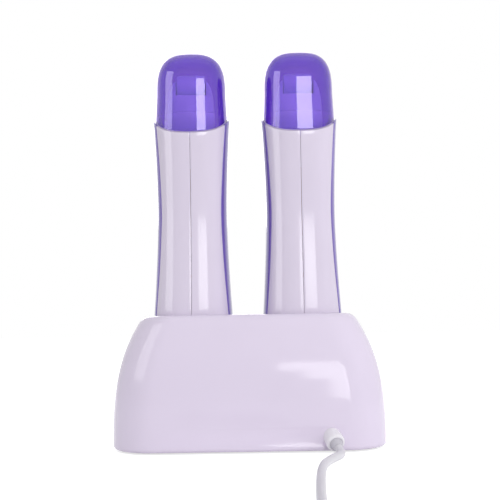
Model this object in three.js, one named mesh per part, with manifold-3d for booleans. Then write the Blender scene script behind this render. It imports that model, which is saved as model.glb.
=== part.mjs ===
// Twin roll-on wax warmer: two lift-out warmers that stand in one mains base.
// Millimetres, +Z up. The front looks towards -Y, and the power lead leaves the back, at +Y.
import * as THREE from 'three';
import { mergeVertices } from 'three/addons/utils/BufferGeometryUtils.js';
import Module from 'manifold-3d';

const wasm = await Module();
wasm.setup();

// Sizes shared by all pieces
const gap = 0.3;
const overrun = 20;
const roundSides = 16;
const smallSides = 10;
const halfTurnAngle = Math.PI;
const quarterTurnAngle = Math.PI / 2;
const degreeAngle = Math.PI / 180;

// Base housing: bell-shaped shell, widest at its foot
const baseHeight = 106.5;
const baseSideMargin = 3.5;
const baseFaceMargin = 6.4;
const baseDrawInWidth = 24.1;
const baseDrawInDepth = 11;
const baseDrawInExponent = 3.03;
const baseCornerRadius = 35;
const baseCornerDrawIn = 6;
const baseTopRound = 4.5;
const baseWall = 2.5;
const baseLift = 1.5;
const baseLevelShares = [0, 0.3, 0.5, 0.66, 0.79, 0.9, 1];
const baseRoundSteps = 3;
const cornerSteps = 5;
const postRadius = 4;
const middlePostInset = 11;
const endPostGap = 8;

// Base plate, feet and screws
const plateThickness = 2.5;
const plateRecess = 0.5;
const footRadius = 7;
const footPegRadius = 2.5;
const footInsetX = 25.2;
const footInsetY = 22;
const screwHeadRadius = 3;
const screwHeadThickness = 1.4;
const screwRadius = 1.4;
const screwLength = 12;
const screwSlotWidth = 0.9;
const screwSlotDepth = 0.6;

// Warmer body: two half shells with a saddle-shaped rim
const warmerPitch = 90;
const wellDepth = 46.5;
const waistRise = 83.5;
const rimRise = 72;
const hornRise = 8.7;
const bodyBottom = baseHeight - wellDepth;
const waistHeight = baseHeight + waistRise;
const rimHeight = waistHeight + rimRise;
const hornHeight = rimHeight + hornRise;
const waistHalfWidth = 28.4;
const waistHalfDepth = 25.2;
const lowFlareWidth = 3.6;
const lowFlareDepth = 4.8;
const rimFlareWidth = 2.8;
const rimFlareDepth = 3.9;
const flareExponent = 1.6;
const bodyTaper = 2;
const bodyEdge = 1.5;
const bodyExponent = 2.7;
const bodySides = 24;
const bodyWall = 2.5;
const seamHalfGap = 0.15;
const rimDip = 15.8;
const rimDipExponent = 1.34;
const rimSteps = 12;
const bodyFloor = 2.5;
const belowRimShares = [0.2, 0.38, 0.56, 0.74, 0.88, 1];

// Side panels, set into the casing
const panelHalfDepth = 17;
const panelThickness = 1.2;
const panelProud = 0.3;
const panelInset = 12;
const panelBottom = bodyBottom + panelInset;

// Window and indicator lamp, at the front
const windowHalfWidth = 8;
const windowDrop = 22;
const windowHeight = 64;
const windowBottom = waistHeight - windowDrop;
const windowTop = windowBottom + windowHeight;
const windowThickness = 1.4;
const lampRise = 33.5;
const lampHeight = baseHeight + lampRise;
const lampRadius = 2.5;
const lampFlange = 1.2;
const lampFlangeThickness = 1;
const lampProud = 0.6;

// Wells of the base
const wellClearance = 1;
const wellWall = 1.6;
const wellFloor = 2;
const collarOut = 2;
const collarThickness = 2;

// What the base is built round: the collars of its wells
const collarHalfDepth = waistHalfDepth + lowFlareDepth + wellClearance + wellWall + collarOut;
const collarEdge = warmerPitch / 2 + waistHalfWidth + lowFlareWidth + wellClearance + wellWall + collarOut;
const baseFootHalfWidth = collarEdge + baseSideMargin + baseDrawInWidth;
const baseFootHalfDepth = collarHalfDepth + baseFaceMargin + baseDrawInDepth;
const middlePostOut = collarHalfDepth + baseFaceMargin - middlePostInset;
const endPostOut = collarEdge + postRadius + endPostGap;
const footOutX = baseFootHalfWidth - footInsetX;
const footOutY = baseFootHalfDepth - footInsetY;

// Contacts between base and warmer
const contactBlockHalfWidth = 14;
const contactBlockHalfDepth = 8;
const contactBlockHeight = 12;
const contactOut = 7;
const pinRadius = 1.5;
const pinCollar = 1;
const pinCollarThickness = 2;
const pinReach = 8;
const pinTail = 3;
const socketHalfWidth = 12;
const socketHalfDepth = 7;
const socketHeight = 12;
const socketFlange = 2;
const socketFlangeThickness = 2;

// Wax cartridge, and the heated sleeve round it
const cartridgeHeight = 95;
const cartridgeStandOut = 4;
const cartridgeHalfWidth = 24;
const cartridgeHalfDepth = 15.5;
const cartridgeEdge = 1.5;
const cartridgeExponent = 3.4;
const cartridgeSides = 24;
const cartridgeClearance = 0.4;
const sleeveWall = 1.2;
const sleeveFlangeDrop = 13;
const sleeveFlangeThickness = 2;
const sleeveFlangeTop = rimHeight - sleeveFlangeDrop;
const cartridgeTop = sleeveFlangeTop + cartridgeStandOut;
const cartridgeBottom = cartridgeTop - cartridgeHeight;
const sleeveLip = 5;
const padHalfWidth = 11;
const padThickness = 3;
const padInset = 12;
const padHeight = 56;
const padBottom = cartridgeBottom + padInset;
const thermostatHalfWidth = 9;
const thermostatHalfDepth = 6;
const thermostatHeight = 6;

// Roller head and roller
const headCollarHalfWidth = 22;
const headCollarHalfDepth = 14;
const headCollarHeight = 7;
const headHalfWidth = 19.5;
const headHalfDepth = 10.5;
const headArchHeight = 48;
const headExponent = 3.6;
const headArchSteps = 12;
const rollerRadius = 9.5;
const rollerHalfLength = 12.5;
const rollerEdge = 2;
const rollerProud = 1;
const axleRadius = 1.5;
const axleReach = 2;

// Cap: clear cover with a tongue that goes inside the rim
const capShoulderRise = 28;
const capDomeHeight = 35.8;
const capShoulder = rimHeight + capShoulderRise;
const capTop = capShoulder + capDomeHeight;
const capShoulderHalfWidth = 29.1;
const capShoulderHalfDepth = 27.2;
const capSpread = 1.3;
const capExponent = 3.1;
const capWall = 2.6;
const capSteps = 5;
const capLastShare = 0.985;
const tongueWall = 1;
const tongueOverlap = 3.2;
const tongueTop = hornHeight + tongueOverlap;

// Rocker switches, one for each warmer, on the front of the base
const switchHeight = 36;
const switchHalfWidth = 6.5;
const switchHalfHeight = 9.5;
const bezelRim = 1.5;
const bezelThickness = 2;
const switchDepth = 16;
const switchWall = 1.5;
const rockerHalfHeight = 7;
const rockerSide = 0.4;
const rockerEnd = 0.9;
const rockerProud = 3;
const rockerDip = 1;
const rockerDepth = 4.5;
const rockerTiltAngle = 8 * degreeAngle;
const rockerPivotIn = 1.5;
const rockerAxleRadius = 1.2;

// Lead entry: boss, strain relief, clamp, terminal block and inner lead
const glandX = -63.5;
const glandHeight = 11.3;
const glandDroopAngle = 22 * degreeAngle;
const glandTurnAngle = 12 * degreeAngle;
const glandRadius = 7.3;
const glandOut = 8.5;
const glandIn = 6;
const glandLip = 1.6;
const reliefRootRadius = 5;
const reliefTipRadius = 3.9;
const reliefOut = 14;
const reliefIn = 9;
const reliefRib = 0.35;
const reliefRibCount = 3;
const cordRadius = 3.1;
const cordSides = 8;
const cordSteps = 30;
const cordStraight = 2;
const clampHalfLength = 9;
const clampBridge = 2;
const blockHalfWidth = 15;
const blockHalfDepth = 8;
const blockHeight = 14;
const blockMouth = 3;

// Coil of the lead, and its plug
const coilRadius = 39.5;
const coilGap = 0.5;
const coilTurnCount = 2;
const coilClimbTurns = 0.5;
const coilTopTurns = 2.25;
const coilLoopSteps = 24;
const coilSides = 6;
const coilStartX = -39;
const coilY = 307;
const tailLength = 35.2;
const tailSteps = 8;
const plugHalfWidth = 17;
const plugHalfHeight = 7;
const plugLength = 36;
const plugNeckLength = 12;
const plugNeckRadius = 5;
const plugPinRadius = 2;
const plugPinLength = 19;
const plugPinRoot = 5;
const plugPinOut = 9.5;

// The lead's route from the strain relief to the coil, as it lies in the photograph
const leadRoute = [
  [-67.2, 70.4, 4], [-67.1, 74.4, 3.3], [-65.7, 79.4, 3.2], [-63.2, 85.2, 3.2], [-59.8, 92, 3.2],
  [-56.3, 100.3, 3.2], [-51.9, 114, 3.2], [-48.7, 130.8, 3.2], [-46.1, 151.9, 3.2], [-44.2, 171.5, 3.2],
  [-42.5, 192.7, 3.2], [-41, 212.2, 3.2], [-39.8, 231, 3.2], [-39.1, 250, 3.2], [-39, 268, 3.2],
];
// The inner lead's middle point, between the strain relief and the terminal block
const innerLeadMiddle = [-40, 22, 12.5];
const innerLeadSteps = 10;
const innerLeadEnd = 4 * cordRadius;

const colours = {
  shell: { color: 0xe5dceb, roughness: 0.22, metalness: 0 },
  purple: { color: 0x6b52c4, roughness: 0.2, metalness: 0 },
  cap: { color: 0x8a6fd0, roughness: 0.08, metalness: 0 },
  inner: { color: 0x3a3a40, roughness: 0.6, metalness: 0 },
  lead: { color: 0xdcdadf, roughness: 0.5, metalness: 0 },
  grey: { color: 0xb7b4bb, roughness: 0.6, metalness: 0 },
  rubber: { color: 0x2b2b2e, roughness: 0.85, metalness: 0 },
  metal: { color: 0xc9c9cc, roughness: 0.3, metalness: 1 },
  brass: { color: 0xc8a24a, roughness: 0.3, metalness: 1 },
  pad: { color: 0xc47a2a, roughness: 0.45, metalness: 0 },
  wax: { color: 0xe9c27a, roughness: 0.35, metalness: 0 },
};

const group = new THREE.Group();

function solid(geometry) {
  const bare = geometry.index ? geometry.toNonIndexed() : geometry.clone();
  bare.deleteAttribute('normal');
  bare.deleteAttribute('uv');
  const merged = mergeVertices(bare);
  const triVerts = Uint32Array.from(merged.index.array);
  const vertProperties = merged.attributes.position.array;
  return new wasm.Manifold(new wasm.Mesh({ numProp: 3, vertProperties, triVerts }));
}

function add(name, piece, look) {
  const mesh = piece.getMesh();
  const geometry = new THREE.BufferGeometry();
  geometry.setAttribute('position', new THREE.BufferAttribute(mesh.vertProperties, 3));
  geometry.setIndex(new THREE.BufferAttribute(mesh.triVerts, 1));
  geometry.computeVertexNormals();
  const made = new THREE.Mesh(geometry, new THREE.MeshStandardMaterial(colours[look]));
  made.name = name;
  group.add(made);
}

// Rings of equal count, from the bottom up, joined into one closed solid
function loft(rings) {
  const count = rings[0].length;
  const faces = [];
  for (let level = 0; level + 1 < rings.length; level += 1) {
    for (let i = 0; i < count; i += 1) {
      const here = level * count + i;
      const next = level * count + ((i + 1) % count);
      faces.push(here, next, next + count, here, next + count, here + count);
    }
  }
  const last = (rings.length - 1) * count;
  for (let i = 1; i + 1 < count; i += 1) {
    faces.push(0, i + 1, i, last, last + i, last + i + 1);
  }
  const geometry = new THREE.BufferGeometry().setFromPoints(rings.flat());
  geometry.setIndex(faces);
  return solid(geometry);
}

function roundedRectangle(halfWidth, halfDepth, radius, x, z) {
  const points = [];
  for (let corner = 0; corner < 4; corner += 1) {
    const sideX = corner === 0 || corner === 3 ? 1 : -1;
    const sideY = corner < 2 ? 1 : -1;
    for (let step = 0; step <= cornerSteps; step += 1) {
      const angle = quarterTurnAngle * (corner + step / cornerSteps);
      points.push(new THREE.Vector3(
        x + sideX * (halfWidth - radius) + radius * Math.cos(angle),
        sideY * (halfDepth - radius) + radius * Math.sin(angle),
        z,
      ));
    }
  }
  return points;
}

function superellipse(halfWidth, halfDepth, exponent, sides, x, z) {
  const points = [];
  for (let side = 0; side < sides; side += 1) {
    const angle = (2 * halfTurnAngle * side) / sides;
    const across = Math.cos(angle);
    const along = Math.sin(angle);
    points.push(new THREE.Vector3(
      x + halfWidth * Math.sign(across) * Math.abs(across) ** (2 / exponent),
      halfDepth * Math.sign(along) * Math.abs(along) ** (2 / exponent),
      z,
    ));
  }
  return points;
}

function block(x0, x1, y0, y1, z0, z1) {
  const box = new THREE.BoxGeometry(x1 - x0, y1 - y0, z1 - z0);
  return solid(box.translate((x0 + x1) / 2, (y0 + y1) / 2, (z0 + z1) / 2));
}

function post(radius, x, y, z0, z1, sides = roundSides) {
  const rod = new THREE.CylinderGeometry(radius, radius, z1 - z0, sides);
  return solid(rod.rotateX(quarterTurnAngle).translate(x, y, (z0 + z1) / 2));
}

function barAlongX(radius, x0, x1, y, z, sides = smallSides) {
  const rod = new THREE.CylinderGeometry(radius, radius, x1 - x0, sides);
  return solid(rod.rotateZ(quarterTurnAngle).translate((x0 + x1) / 2, y, z));
}

function barAlongY(radius, x, y0, y1, z, sides = smallSides) {
  const rod = new THREE.CylinderGeometry(radius, radius, y1 - y0, sides);
  return solid(rod.translate(x, (y0 + y1) / 2, z));
}

// A flat outline of [y, z] points, extruded along X
function prismAlongX(outline, x0, x1) {
  const shape = new THREE.Shape(outline.map(([y, z]) => new THREE.Vector2(y, z)));
  const prism = new THREE.ExtrudeGeometry(shape, { depth: x1 - x0, bevelEnabled: false });
  const turn = new THREE.Matrix4().makeBasis(
    new THREE.Vector3(0, 1, 0), new THREE.Vector3(0, 0, 1), new THREE.Vector3(1, 0, 0),
  );
  return solid(prism.applyMatrix4(turn).translate(x0, 0, 0));
}

// A flat outline of [x, z] points, extruded along Y
function prismAlongY(outline, y0, y1) {
  const shape = new THREE.Shape(outline.map(([x, z]) => new THREE.Vector2(x, z)));
  const prism = new THREE.ExtrudeGeometry(shape, { depth: y1 - y0, bevelEnabled: false });
  const turn = new THREE.Matrix4().makeBasis(
    new THREE.Vector3(1, 0, 0), new THREE.Vector3(0, 0, 1), new THREE.Vector3(0, -1, 0),
  );
  return solid(prism.applyMatrix4(turn).translate(0, y1, 0));
}

// A profile of [radius, height] points, turned round Z
function turned(profile, sides = roundSides) {
  return new THREE.LatheGeometry(profile.map(([r, h]) => new THREE.Vector2(r, h)), sides)
    .rotateX(quarterTurnAngle);
}

// Base housing

function baseRing(z, inset) {
  const share = (Math.max(0, z) / baseHeight) ** baseDrawInExponent;
  const intoRound = Math.max(0, z - (baseHeight - baseTopRound));
  const round = baseTopRound - Math.sqrt(Math.max(0, baseTopRound ** 2 - intoRound ** 2));
  const off = inset > 0 ? inset : inset + round;
  return roundedRectangle(
    baseFootHalfWidth - baseDrawInWidth * share - off,
    baseFootHalfDepth - baseDrawInDepth * share - off,
    baseCornerRadius - baseCornerDrawIn * share - off,
    0, z,
  );
}

function baseBody(inset, bottom, top) {
  const straightTop = Math.min(top, baseHeight - baseTopRound);
  const heights = baseLevelShares.map((share) => bottom + share * (straightTop - bottom));
  if (top > straightTop && inset > 0) heights.push(top);
  for (let step = 1; step <= baseRoundSteps && inset <= 0; step += 1) {
    heights.push(straightTop + baseTopRound * Math.sin((quarterTurnAngle * step) / baseRoundSteps));
  }
  return loft(heights.map((z) => baseRing(z, inset)));
}

function baseHalfDepthAt(z) {
  return baseFootHalfDepth - baseDrawInDepth * (z / baseHeight) ** baseDrawInExponent;
}

// Warmer sections

function bodySize(z, inset) {
  const low = Math.min(1, Math.max(0, (waistHeight - z) / (waistHeight - baseHeight)));
  const high = Math.max(0, (z - waistHeight) / (rimHeight - waistHeight));
  const sunk = Math.max(0, (baseHeight - z) / (baseHeight - bodyBottom));
  const lowShare = low ** flareExponent;
  const highShare = high ** flareExponent;
  return [
    waistHalfWidth + lowFlareWidth * lowShare + rimFlareWidth * highShare - bodyTaper * sunk - inset,
    waistHalfDepth + lowFlareDepth * lowShare + rimFlareDepth * highShare - bodyTaper * sunk - inset,
  ];
}

function bodyRing(x, z, inset) {
  const [halfWidth, halfDepth] = bodySize(z, inset);
  return superellipse(halfWidth, halfDepth, bodyExponent, bodySides, x, z);
}

// The body's outline from bottom to top, moved in by an inset
function bodyForm(x, inset, bottom, top) {
  const aboveWell = belowRimShares.map((share) => baseHeight + share * (top - baseHeight));
  const heights = [bottom, baseHeight, ...aboveWell].filter((z) => z >= bottom && z <= top);
  return loft([...new Set(heights)].map((z) => bodyRing(x, z, inset)));
}

function wellForm(x, out, bottom, top) {
  return loft([bottom, (bottom + top) / 2, top].map((z) => {
    const [halfWidth, halfDepth] = bodySize(Math.min(z, baseHeight), 0);
    return superellipse(halfWidth + out, halfDepth + out, bodyExponent, bodySides, x, z);
  }));
}

// Everything above the saddle-shaped rim, raised by a lift
function aboveRim(x, lift) {
  const reach = waistHalfDepth + rimFlareDepth;
  const outline = [];
  for (let step = 0; step <= rimSteps; step += 1) {
    const y = reach * (1 - (2 * step) / rimSteps);
    outline.push([y, hornHeight - rimDip * Math.abs(y / reach) ** rimDipExponent + lift]);
  }
  const edge = reach + overrun;
  const low = hornHeight - rimDip + lift;
  const top = capTop + overrun;
  return prismAlongX(
    [[edge, low], ...outline, [-edge, low], [-edge, top], [edge, top]],
    x - waistHalfWidth - overrun, x + waistHalfWidth + overrun,
  );
}

function panelZone(x, slack) {
  return block(
    x - waistHalfWidth - overrun, x + waistHalfWidth + overrun,
    -panelHalfDepth + slack, panelHalfDepth - slack,
    panelBottom + slack, hornHeight + overrun,
  );
}

function makeWarmer(side, sign) {
  const x = (sign * warmerPitch) / 2;
  const above = aboveRim(x, 0);
  const formTop = hornHeight + gap;
  const outer = bodyForm(x, 0, bodyBottom + bodyEdge, formTop)
    .add(loft([bodyRing(x, bodyBottom, bodyEdge), bodyRing(x, bodyBottom + bodyEdge, 0)]));
  const recess = panelZone(x, 0).subtract(bodyForm(x, panelThickness + gap, bodyBottom, formTop + overrun));
  const front = -waistHalfDepth - overrun;
  const windowHole = block(
    x - windowHalfWidth, x + windowHalfWidth, front, -cartridgeHalfDepth, windowBottom, windowTop,
  );
  const shell = outer
    .subtract(bodyForm(x, bodyWall, bodyBottom + bodyFloor, formTop + overrun))
    .subtract(above)
    .subtract(recess)
    .subtract(windowHole)
    .subtract(barAlongY(lampRadius + gap, x, front, -cartridgeHalfDepth, lampHeight, roundSides))
    .subtract(block(
      x - socketHalfWidth - gap, x + socketHalfWidth + gap, -socketHalfDepth - gap,
      socketHalfDepth + gap, bodyBottom - overrun, bodyBottom + overrun,
    ));
  makeCasing(side, sign, x, shell);
  makePanels(side, sign, x, above);
  makeFront(side, x);
  makeHeater(side, x);
  makeCartridge(side, x);
  makeCap(side, x);
}

function sidePiece(piece, x, direction, off) {
  const far = waistHalfWidth + overrun;
  const from = direction > 0 ? x + off : x - far;
  const to = direction > 0 ? x + far : x - off;
  return piece.intersect(block(from, to, -far, far, bodyBottom - overrun, capTop));
}

function makeCasing(side, sign, x, shell) {
  add(`${side}_casing_outboard`, sidePiece(shell, x, sign, seamHalfGap), 'shell');
  add(`${side}_casing_inboard`, sidePiece(shell, x, -sign, seamHalfGap), 'shell');
}

function makePanels(side, sign, x, above) {
  const top = hornHeight + gap;
  const skin = bodyForm(x, -panelProud, bodyBottom, top)
    .subtract(bodyForm(x, panelThickness, bodyBottom - overrun, top + overrun))
    .intersect(panelZone(x, gap))
    .subtract(above);
  add(`${side}_side_panel_outboard`, sidePiece(skin, x, sign, seamHalfGap), 'purple');
  add(`${side}_side_panel_inboard`, sidePiece(skin, x, -sign, seamHalfGap), 'purple');
}

function makeFront(side, x) {
  const front = -waistHalfDepth - overrun;
  const pane = bodyForm(x, 0, bodyBottom, rimHeight)
    .subtract(bodyForm(x, windowThickness, bodyBottom - overrun, rimHeight + overrun))
    .intersect(block(
      x - windowHalfWidth + gap, x + windowHalfWidth - gap, front, 0,
      windowBottom + gap, windowTop - gap,
    ));
  add(`${side}_window`, pane, 'purple');
  const wallY = bodySize(lampHeight, 0)[1];
  const inside = wallY - bodyWall - 2 * gap;
  const lamp = barAlongY(lampRadius, x, -wallY - lampProud, -inside, lampHeight, roundSides)
    .add(barAlongY(
      lampRadius + lampFlange, x, -inside, -inside + lampFlangeThickness, lampHeight, roundSides,
    ));
  add(`${side}_lamp`, lamp, 'grey');
  const floorTop = bodyBottom + bodyFloor;
  const holes = [-contactOut, contactOut].map((out) => post(
    pinRadius + gap, x + out, 0, bodyBottom - overrun, bodyBottom + pinReach + gap, smallSides,
  ));
  const socket = block(
    x - socketHalfWidth, x + socketHalfWidth, -socketHalfDepth, socketHalfDepth,
    bodyBottom, bodyBottom + socketHeight,
  ).add(block(
    x - socketHalfWidth - socketFlange, x + socketHalfWidth + socketFlange,
    -socketHalfDepth - socketFlange, socketHalfDepth + socketFlange,
    floorTop + gap, floorTop + gap + socketFlangeThickness,
  ));
  add(`${side}_socket`, socket.subtract(holes[0]).subtract(holes[1]), 'inner');
}

function cartridgeRing(x, z, out) {
  return superellipse(
    cartridgeHalfWidth + out, cartridgeHalfDepth + out, cartridgeExponent, cartridgeSides, x, z,
  );
}

function makeHeater(side, x) {
  const floorTop = cartridgeBottom - gap;
  const floorBottom = floorTop - sleeveWall;
  const outside = cartridgeClearance + sleeveWall;
  const flangeBottom = sleeveFlangeTop - sleeveFlangeThickness;
  const sleeve = loft([cartridgeRing(x, floorBottom, outside), cartridgeRing(x, sleeveFlangeTop, outside)])
    .add(loft([
      bodyRing(x, flangeBottom, bodyWall + gap), bodyRing(x, sleeveFlangeTop, bodyWall + gap),
    ]))
    .subtract(loft([
      cartridgeRing(x, floorTop, cartridgeClearance),
      cartridgeRing(x, sleeveFlangeTop + overrun, cartridgeClearance),
    ]))
    .subtract(loft([
      cartridgeRing(x, floorBottom - overrun, -sleeveLip),
      cartridgeRing(x, floorTop + overrun, -sleeveLip),
    ]))
    .subtract(block(
      x - windowHalfWidth, x + windowHalfWidth, -cartridgeHalfDepth - overrun, 0,
      windowBottom, windowTop,
    ));
  add(`${side}_heater_sleeve`, sleeve, 'metal');
  const padY = cartridgeHalfDepth + outside + gap;
  add(`${side}_heater_pad`, block(
    x - padHalfWidth, x + padHalfWidth, padY, padY + padThickness, padBottom, padBottom + padHeight,
  ), 'pad');
  const thermostatTop = floorBottom - gap;
  const back = cartridgeHalfDepth - thermostatHalfDepth;
  add(`${side}_thermostat`, block(
    x - thermostatHalfWidth, x + thermostatHalfWidth, back - thermostatHalfDepth,
    back + thermostatHalfDepth, thermostatTop - thermostatHeight, thermostatTop,
  ), 'inner');
}

function makeCartridge(side, x) {
  const top = cartridgeTop;
  add(`${side}_cartridge`, loft([
    cartridgeRing(x, cartridgeBottom, -cartridgeEdge),
    cartridgeRing(x, cartridgeBottom + cartridgeEdge, 0),
    cartridgeRing(x, top - cartridgeEdge, 0),
    cartridgeRing(x, top, -cartridgeEdge),
  ]), 'wax');
  const collarBottom = top + gap;
  const collarTop = collarBottom + headCollarHeight;
  const headTop = collarTop + headArchHeight;
  const collarRing = (z, out) => superellipse(
    headCollarHalfWidth + out, headCollarHalfDepth + out, cartridgeExponent, cartridgeSides, x, z,
  );
  const arch = [];
  for (let step = 0; step <= headArchSteps; step += 1) {
    const angle = (halfTurnAngle * step) / headArchSteps;
    const across = Math.cos(angle);
    arch.push([
      x + headHalfWidth * Math.sign(across) * Math.abs(across) ** (2 / headExponent),
      collarTop + (headTop - collarTop) * Math.sin(angle) ** (2 / headExponent),
    ]);
  }
  arch.push([x - headHalfWidth, collarBottom], [x + headHalfWidth, collarBottom]);
  const axleZ = headTop + rollerProud - rollerRadius;
  const room = rollerHalfLength + gap;
  const head = loft([collarRing(collarBottom, 0), collarRing(collarTop, 0)])
    .add(prismAlongY(arch, -headHalfDepth, headHalfDepth))
    .subtract(block(
      x - room, x + room, -headHalfDepth - overrun, headHalfDepth + overrun,
      axleZ - rollerRadius - gap, headTop + overrun,
    ))
    .subtract(barAlongX(axleRadius + gap, x - headHalfWidth - gap, x + headHalfWidth + gap, 0, axleZ));
  add(`${side}_roller_head`, head, 'shell');
  const reach = rollerHalfLength + axleReach;
  const roller = turned([
    [0, -reach], [axleRadius, -reach], [axleRadius, -rollerHalfLength],
    [rollerRadius - rollerEdge, -rollerHalfLength], [rollerRadius, -rollerHalfLength + rollerEdge],
    [rollerRadius, rollerHalfLength - rollerEdge], [rollerRadius - rollerEdge, rollerHalfLength],
    [axleRadius, rollerHalfLength], [axleRadius, reach], [0, reach],
  ]).rotateY(quarterTurnAngle).translate(x, 0, axleZ);
  add(`${side}_roller`, solid(roller), 'shell');
}

function capForm(x, inset, bottom) {
  const rings = [];
  const size = (z, share) => superellipse(
    (capShoulderHalfWidth + (capSpread * Math.max(0, capShoulder - z)) / (capShoulder - rimHeight)
      - inset) * share,
    (capShoulderHalfDepth + (capSpread * Math.max(0, capShoulder - z)) / (capShoulder - rimHeight)
      - inset) * share,
    bodyExponent, bodySides, x, z,
  );
  rings.push(size(bottom, 1), size(capShoulder, 1));
  const rise = capTop - inset - capShoulder;
  for (let step = 1; step <= capSteps; step += 1) {
    const share = capLastShare * Math.sin((quarterTurnAngle * step) / capSteps);
    rings.push(size(capShoulder + rise * share, (1 - share ** capExponent) ** (1 / capExponent)));
  }
  return loft(rings);
}

function makeCap(side, x) {
  const bottom = sleeveFlangeTop + gap;
  const outer = capForm(x, 0, bottom).intersect(aboveRim(x, gap));
  const tongue = bodyForm(x, bodyWall + gap, bottom, tongueTop);
  const hollow = bodyForm(x, bodyWall + gap + tongueWall, bottom - overrun, tongueTop + gap)
    .add(capForm(x, capWall, tongueTop));
  add(`${side}_cap`, outer.add(tongue).subtract(hollow), 'cap');
}

// Base pieces

const wellBottom = bodyBottom - gap - wellFloor;
const wellOutside = wellClearance + wellWall;
const plateBottom = baseLift + plateRecess;
const plateTop = plateBottom + plateThickness;
const screwPlaces = [
  [0, middlePostOut], [0, -middlePostOut], [endPostOut, 0], [-endPostOut, 0],
];
const warmerPlaces = [['left', -1], ['right', 1]];

// Where the lead enters: a frame at the back wall whose +Z runs out along the lead
const glandFrame = new THREE.Matrix4().makeTranslation(glandX, baseHalfDepthAt(glandHeight), glandHeight)
  .multiply(new THREE.Matrix4().makeRotationZ(glandTurnAngle))
  .multiply(new THREE.Matrix4().makeRotationX(-quarterTurnAngle - glandDroopAngle));

function makeHousing() {
  let housing = baseBody(0, baseLift, baseHeight)
    .subtract(baseBody(baseWall, baseLift - overrun, baseHeight - baseWall));
  const core = baseBody(baseWall / 2, baseLift, baseHeight - baseWall / 2);
  for (const [x, y] of screwPlaces) {
    housing = housing
      .add(post(postRadius, x, y, plateTop + gap, baseHeight + overrun).intersect(core))
      .subtract(post(screwRadius + gap, x, y, baseLift, plateTop + screwLength, smallSides));
  }
  for (const [, sign] of warmerPlaces) {
    const x = (sign * warmerPitch) / 2;
    housing = housing
      .subtract(wellForm(x, wellOutside + gap, baseHeight - baseWall - gap, baseHeight + gap))
      .subtract(block(
        x - switchHalfWidth - gap, x + switchHalfWidth + gap, -baseFootHalfDepth - overrun,
        -baseFootHalfDepth / 2, switchHeight - switchHalfHeight - gap,
        switchHeight + switchHalfHeight + gap,
      ));
  }
  const entry = turned([
    [0, -overrun], [glandRadius + gap, -overrun], [glandRadius + gap, overrun], [0, overrun],
  ]).applyMatrix4(glandFrame);
  add('base_housing', housing.subtract(solid(entry)), 'shell');
}

function makePlate() {
  let plate = loft([baseRing(plateBottom, baseWall + gap), baseRing(plateTop, baseWall + gap)]);
  for (const [x, y] of screwPlaces) {
    plate = plate
      .subtract(post(screwRadius + gap, x, y, 0, plateTop + gap, smallSides))
      .subtract(post(screwHeadRadius + gap, x, y, 0, plateBottom + screwHeadThickness, smallSides));
  }
  for (const x of [-footOutX, footOutX]) {
    for (const y of [-footOutY, footOutY]) {
      plate = plate.subtract(post(footPegRadius + gap, x, y, 0, plateTop + gap, smallSides));
    }
  }
  add('base_plate', plate, 'shell');
}

function makeFeet() {
  for (const [end, x] of [['left', -footOutX], ['right', footOutX]]) {
    for (const [face, y] of [['front', -footOutY], ['back', footOutY]]) {
      const foot = post(footRadius, x, y, 0, plateBottom - gap)
        .add(post(footPegRadius, x, y, gap, plateTop - gap, smallSides));
      add(`foot_${face}_${end}`, foot, 'rubber');
    }
  }
}

function makeScrews() {
  screwPlaces.forEach(([x, y], index) => {
    const headTop = plateBottom + screwHeadThickness - gap;
    const screw = post(screwHeadRadius, x, y, plateBottom, headTop)
      .add(post(screwRadius, x, y, plateBottom + gap, plateTop + screwLength - gap, smallSides))
      .subtract(block(
        x - screwHeadRadius, x + screwHeadRadius, y - screwSlotWidth / 2, y + screwSlotWidth / 2,
        plateBottom - overrun, plateBottom + screwSlotDepth,
      ))
      .subtract(block(
        x - screwSlotWidth / 2, x + screwSlotWidth / 2, y - screwHeadRadius, y + screwHeadRadius,
        plateBottom - overrun, plateBottom + screwSlotDepth,
      ));
    add(`screw_${index + 1}`, screw, 'metal');
  });
}

function makeWell(side, sign) {
  const x = (sign * warmerPitch) / 2;
  const collarTop = baseHeight - baseWall - gap;
  let well = wellForm(x, wellOutside, wellBottom, baseHeight - gap)
    .add(wellForm(x, wellOutside + collarOut, collarTop - collarThickness, collarTop))
    .subtract(wellForm(x, wellClearance, bodyBottom - gap, baseHeight + gap));
  const blockTop = wellBottom - gap;
  let contactBlock = block(
    x - contactBlockHalfWidth, x + contactBlockHalfWidth, -contactBlockHalfDepth, contactBlockHalfDepth,
    blockTop - contactBlockHeight, blockTop,
  );
  for (const [end, out] of [['outer', sign * contactOut], ['inner', -sign * contactOut]]) {
    const hole = post(pinRadius + gap, x + out, 0, blockTop - overrun, bodyBottom + gap, smallSides);
    well = well.subtract(hole);
    contactBlock = contactBlock.subtract(hole);
    const collarBottom = blockTop - contactBlockHeight - gap - pinCollarThickness;
    const pin = post(pinRadius, x + out, 0, collarBottom - pinTail, bodyBottom + pinReach, smallSides)
      .add(post(
        pinRadius + pinCollar, x + out, 0, collarBottom, collarBottom + pinCollarThickness, smallSides,
      ));
    add(`${side}_contact_pin_${end}`, pin, 'brass');
  }
  add(`${side}_well`, well, 'shell');
  add(`${side}_contact_block`, contactBlock, 'inner');
}

// The rocker's pivot, and the face of the bezel round it
const pivotY = -(baseHalfDepthAt(switchHeight) + bezelThickness - rockerPivotIn);

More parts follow.
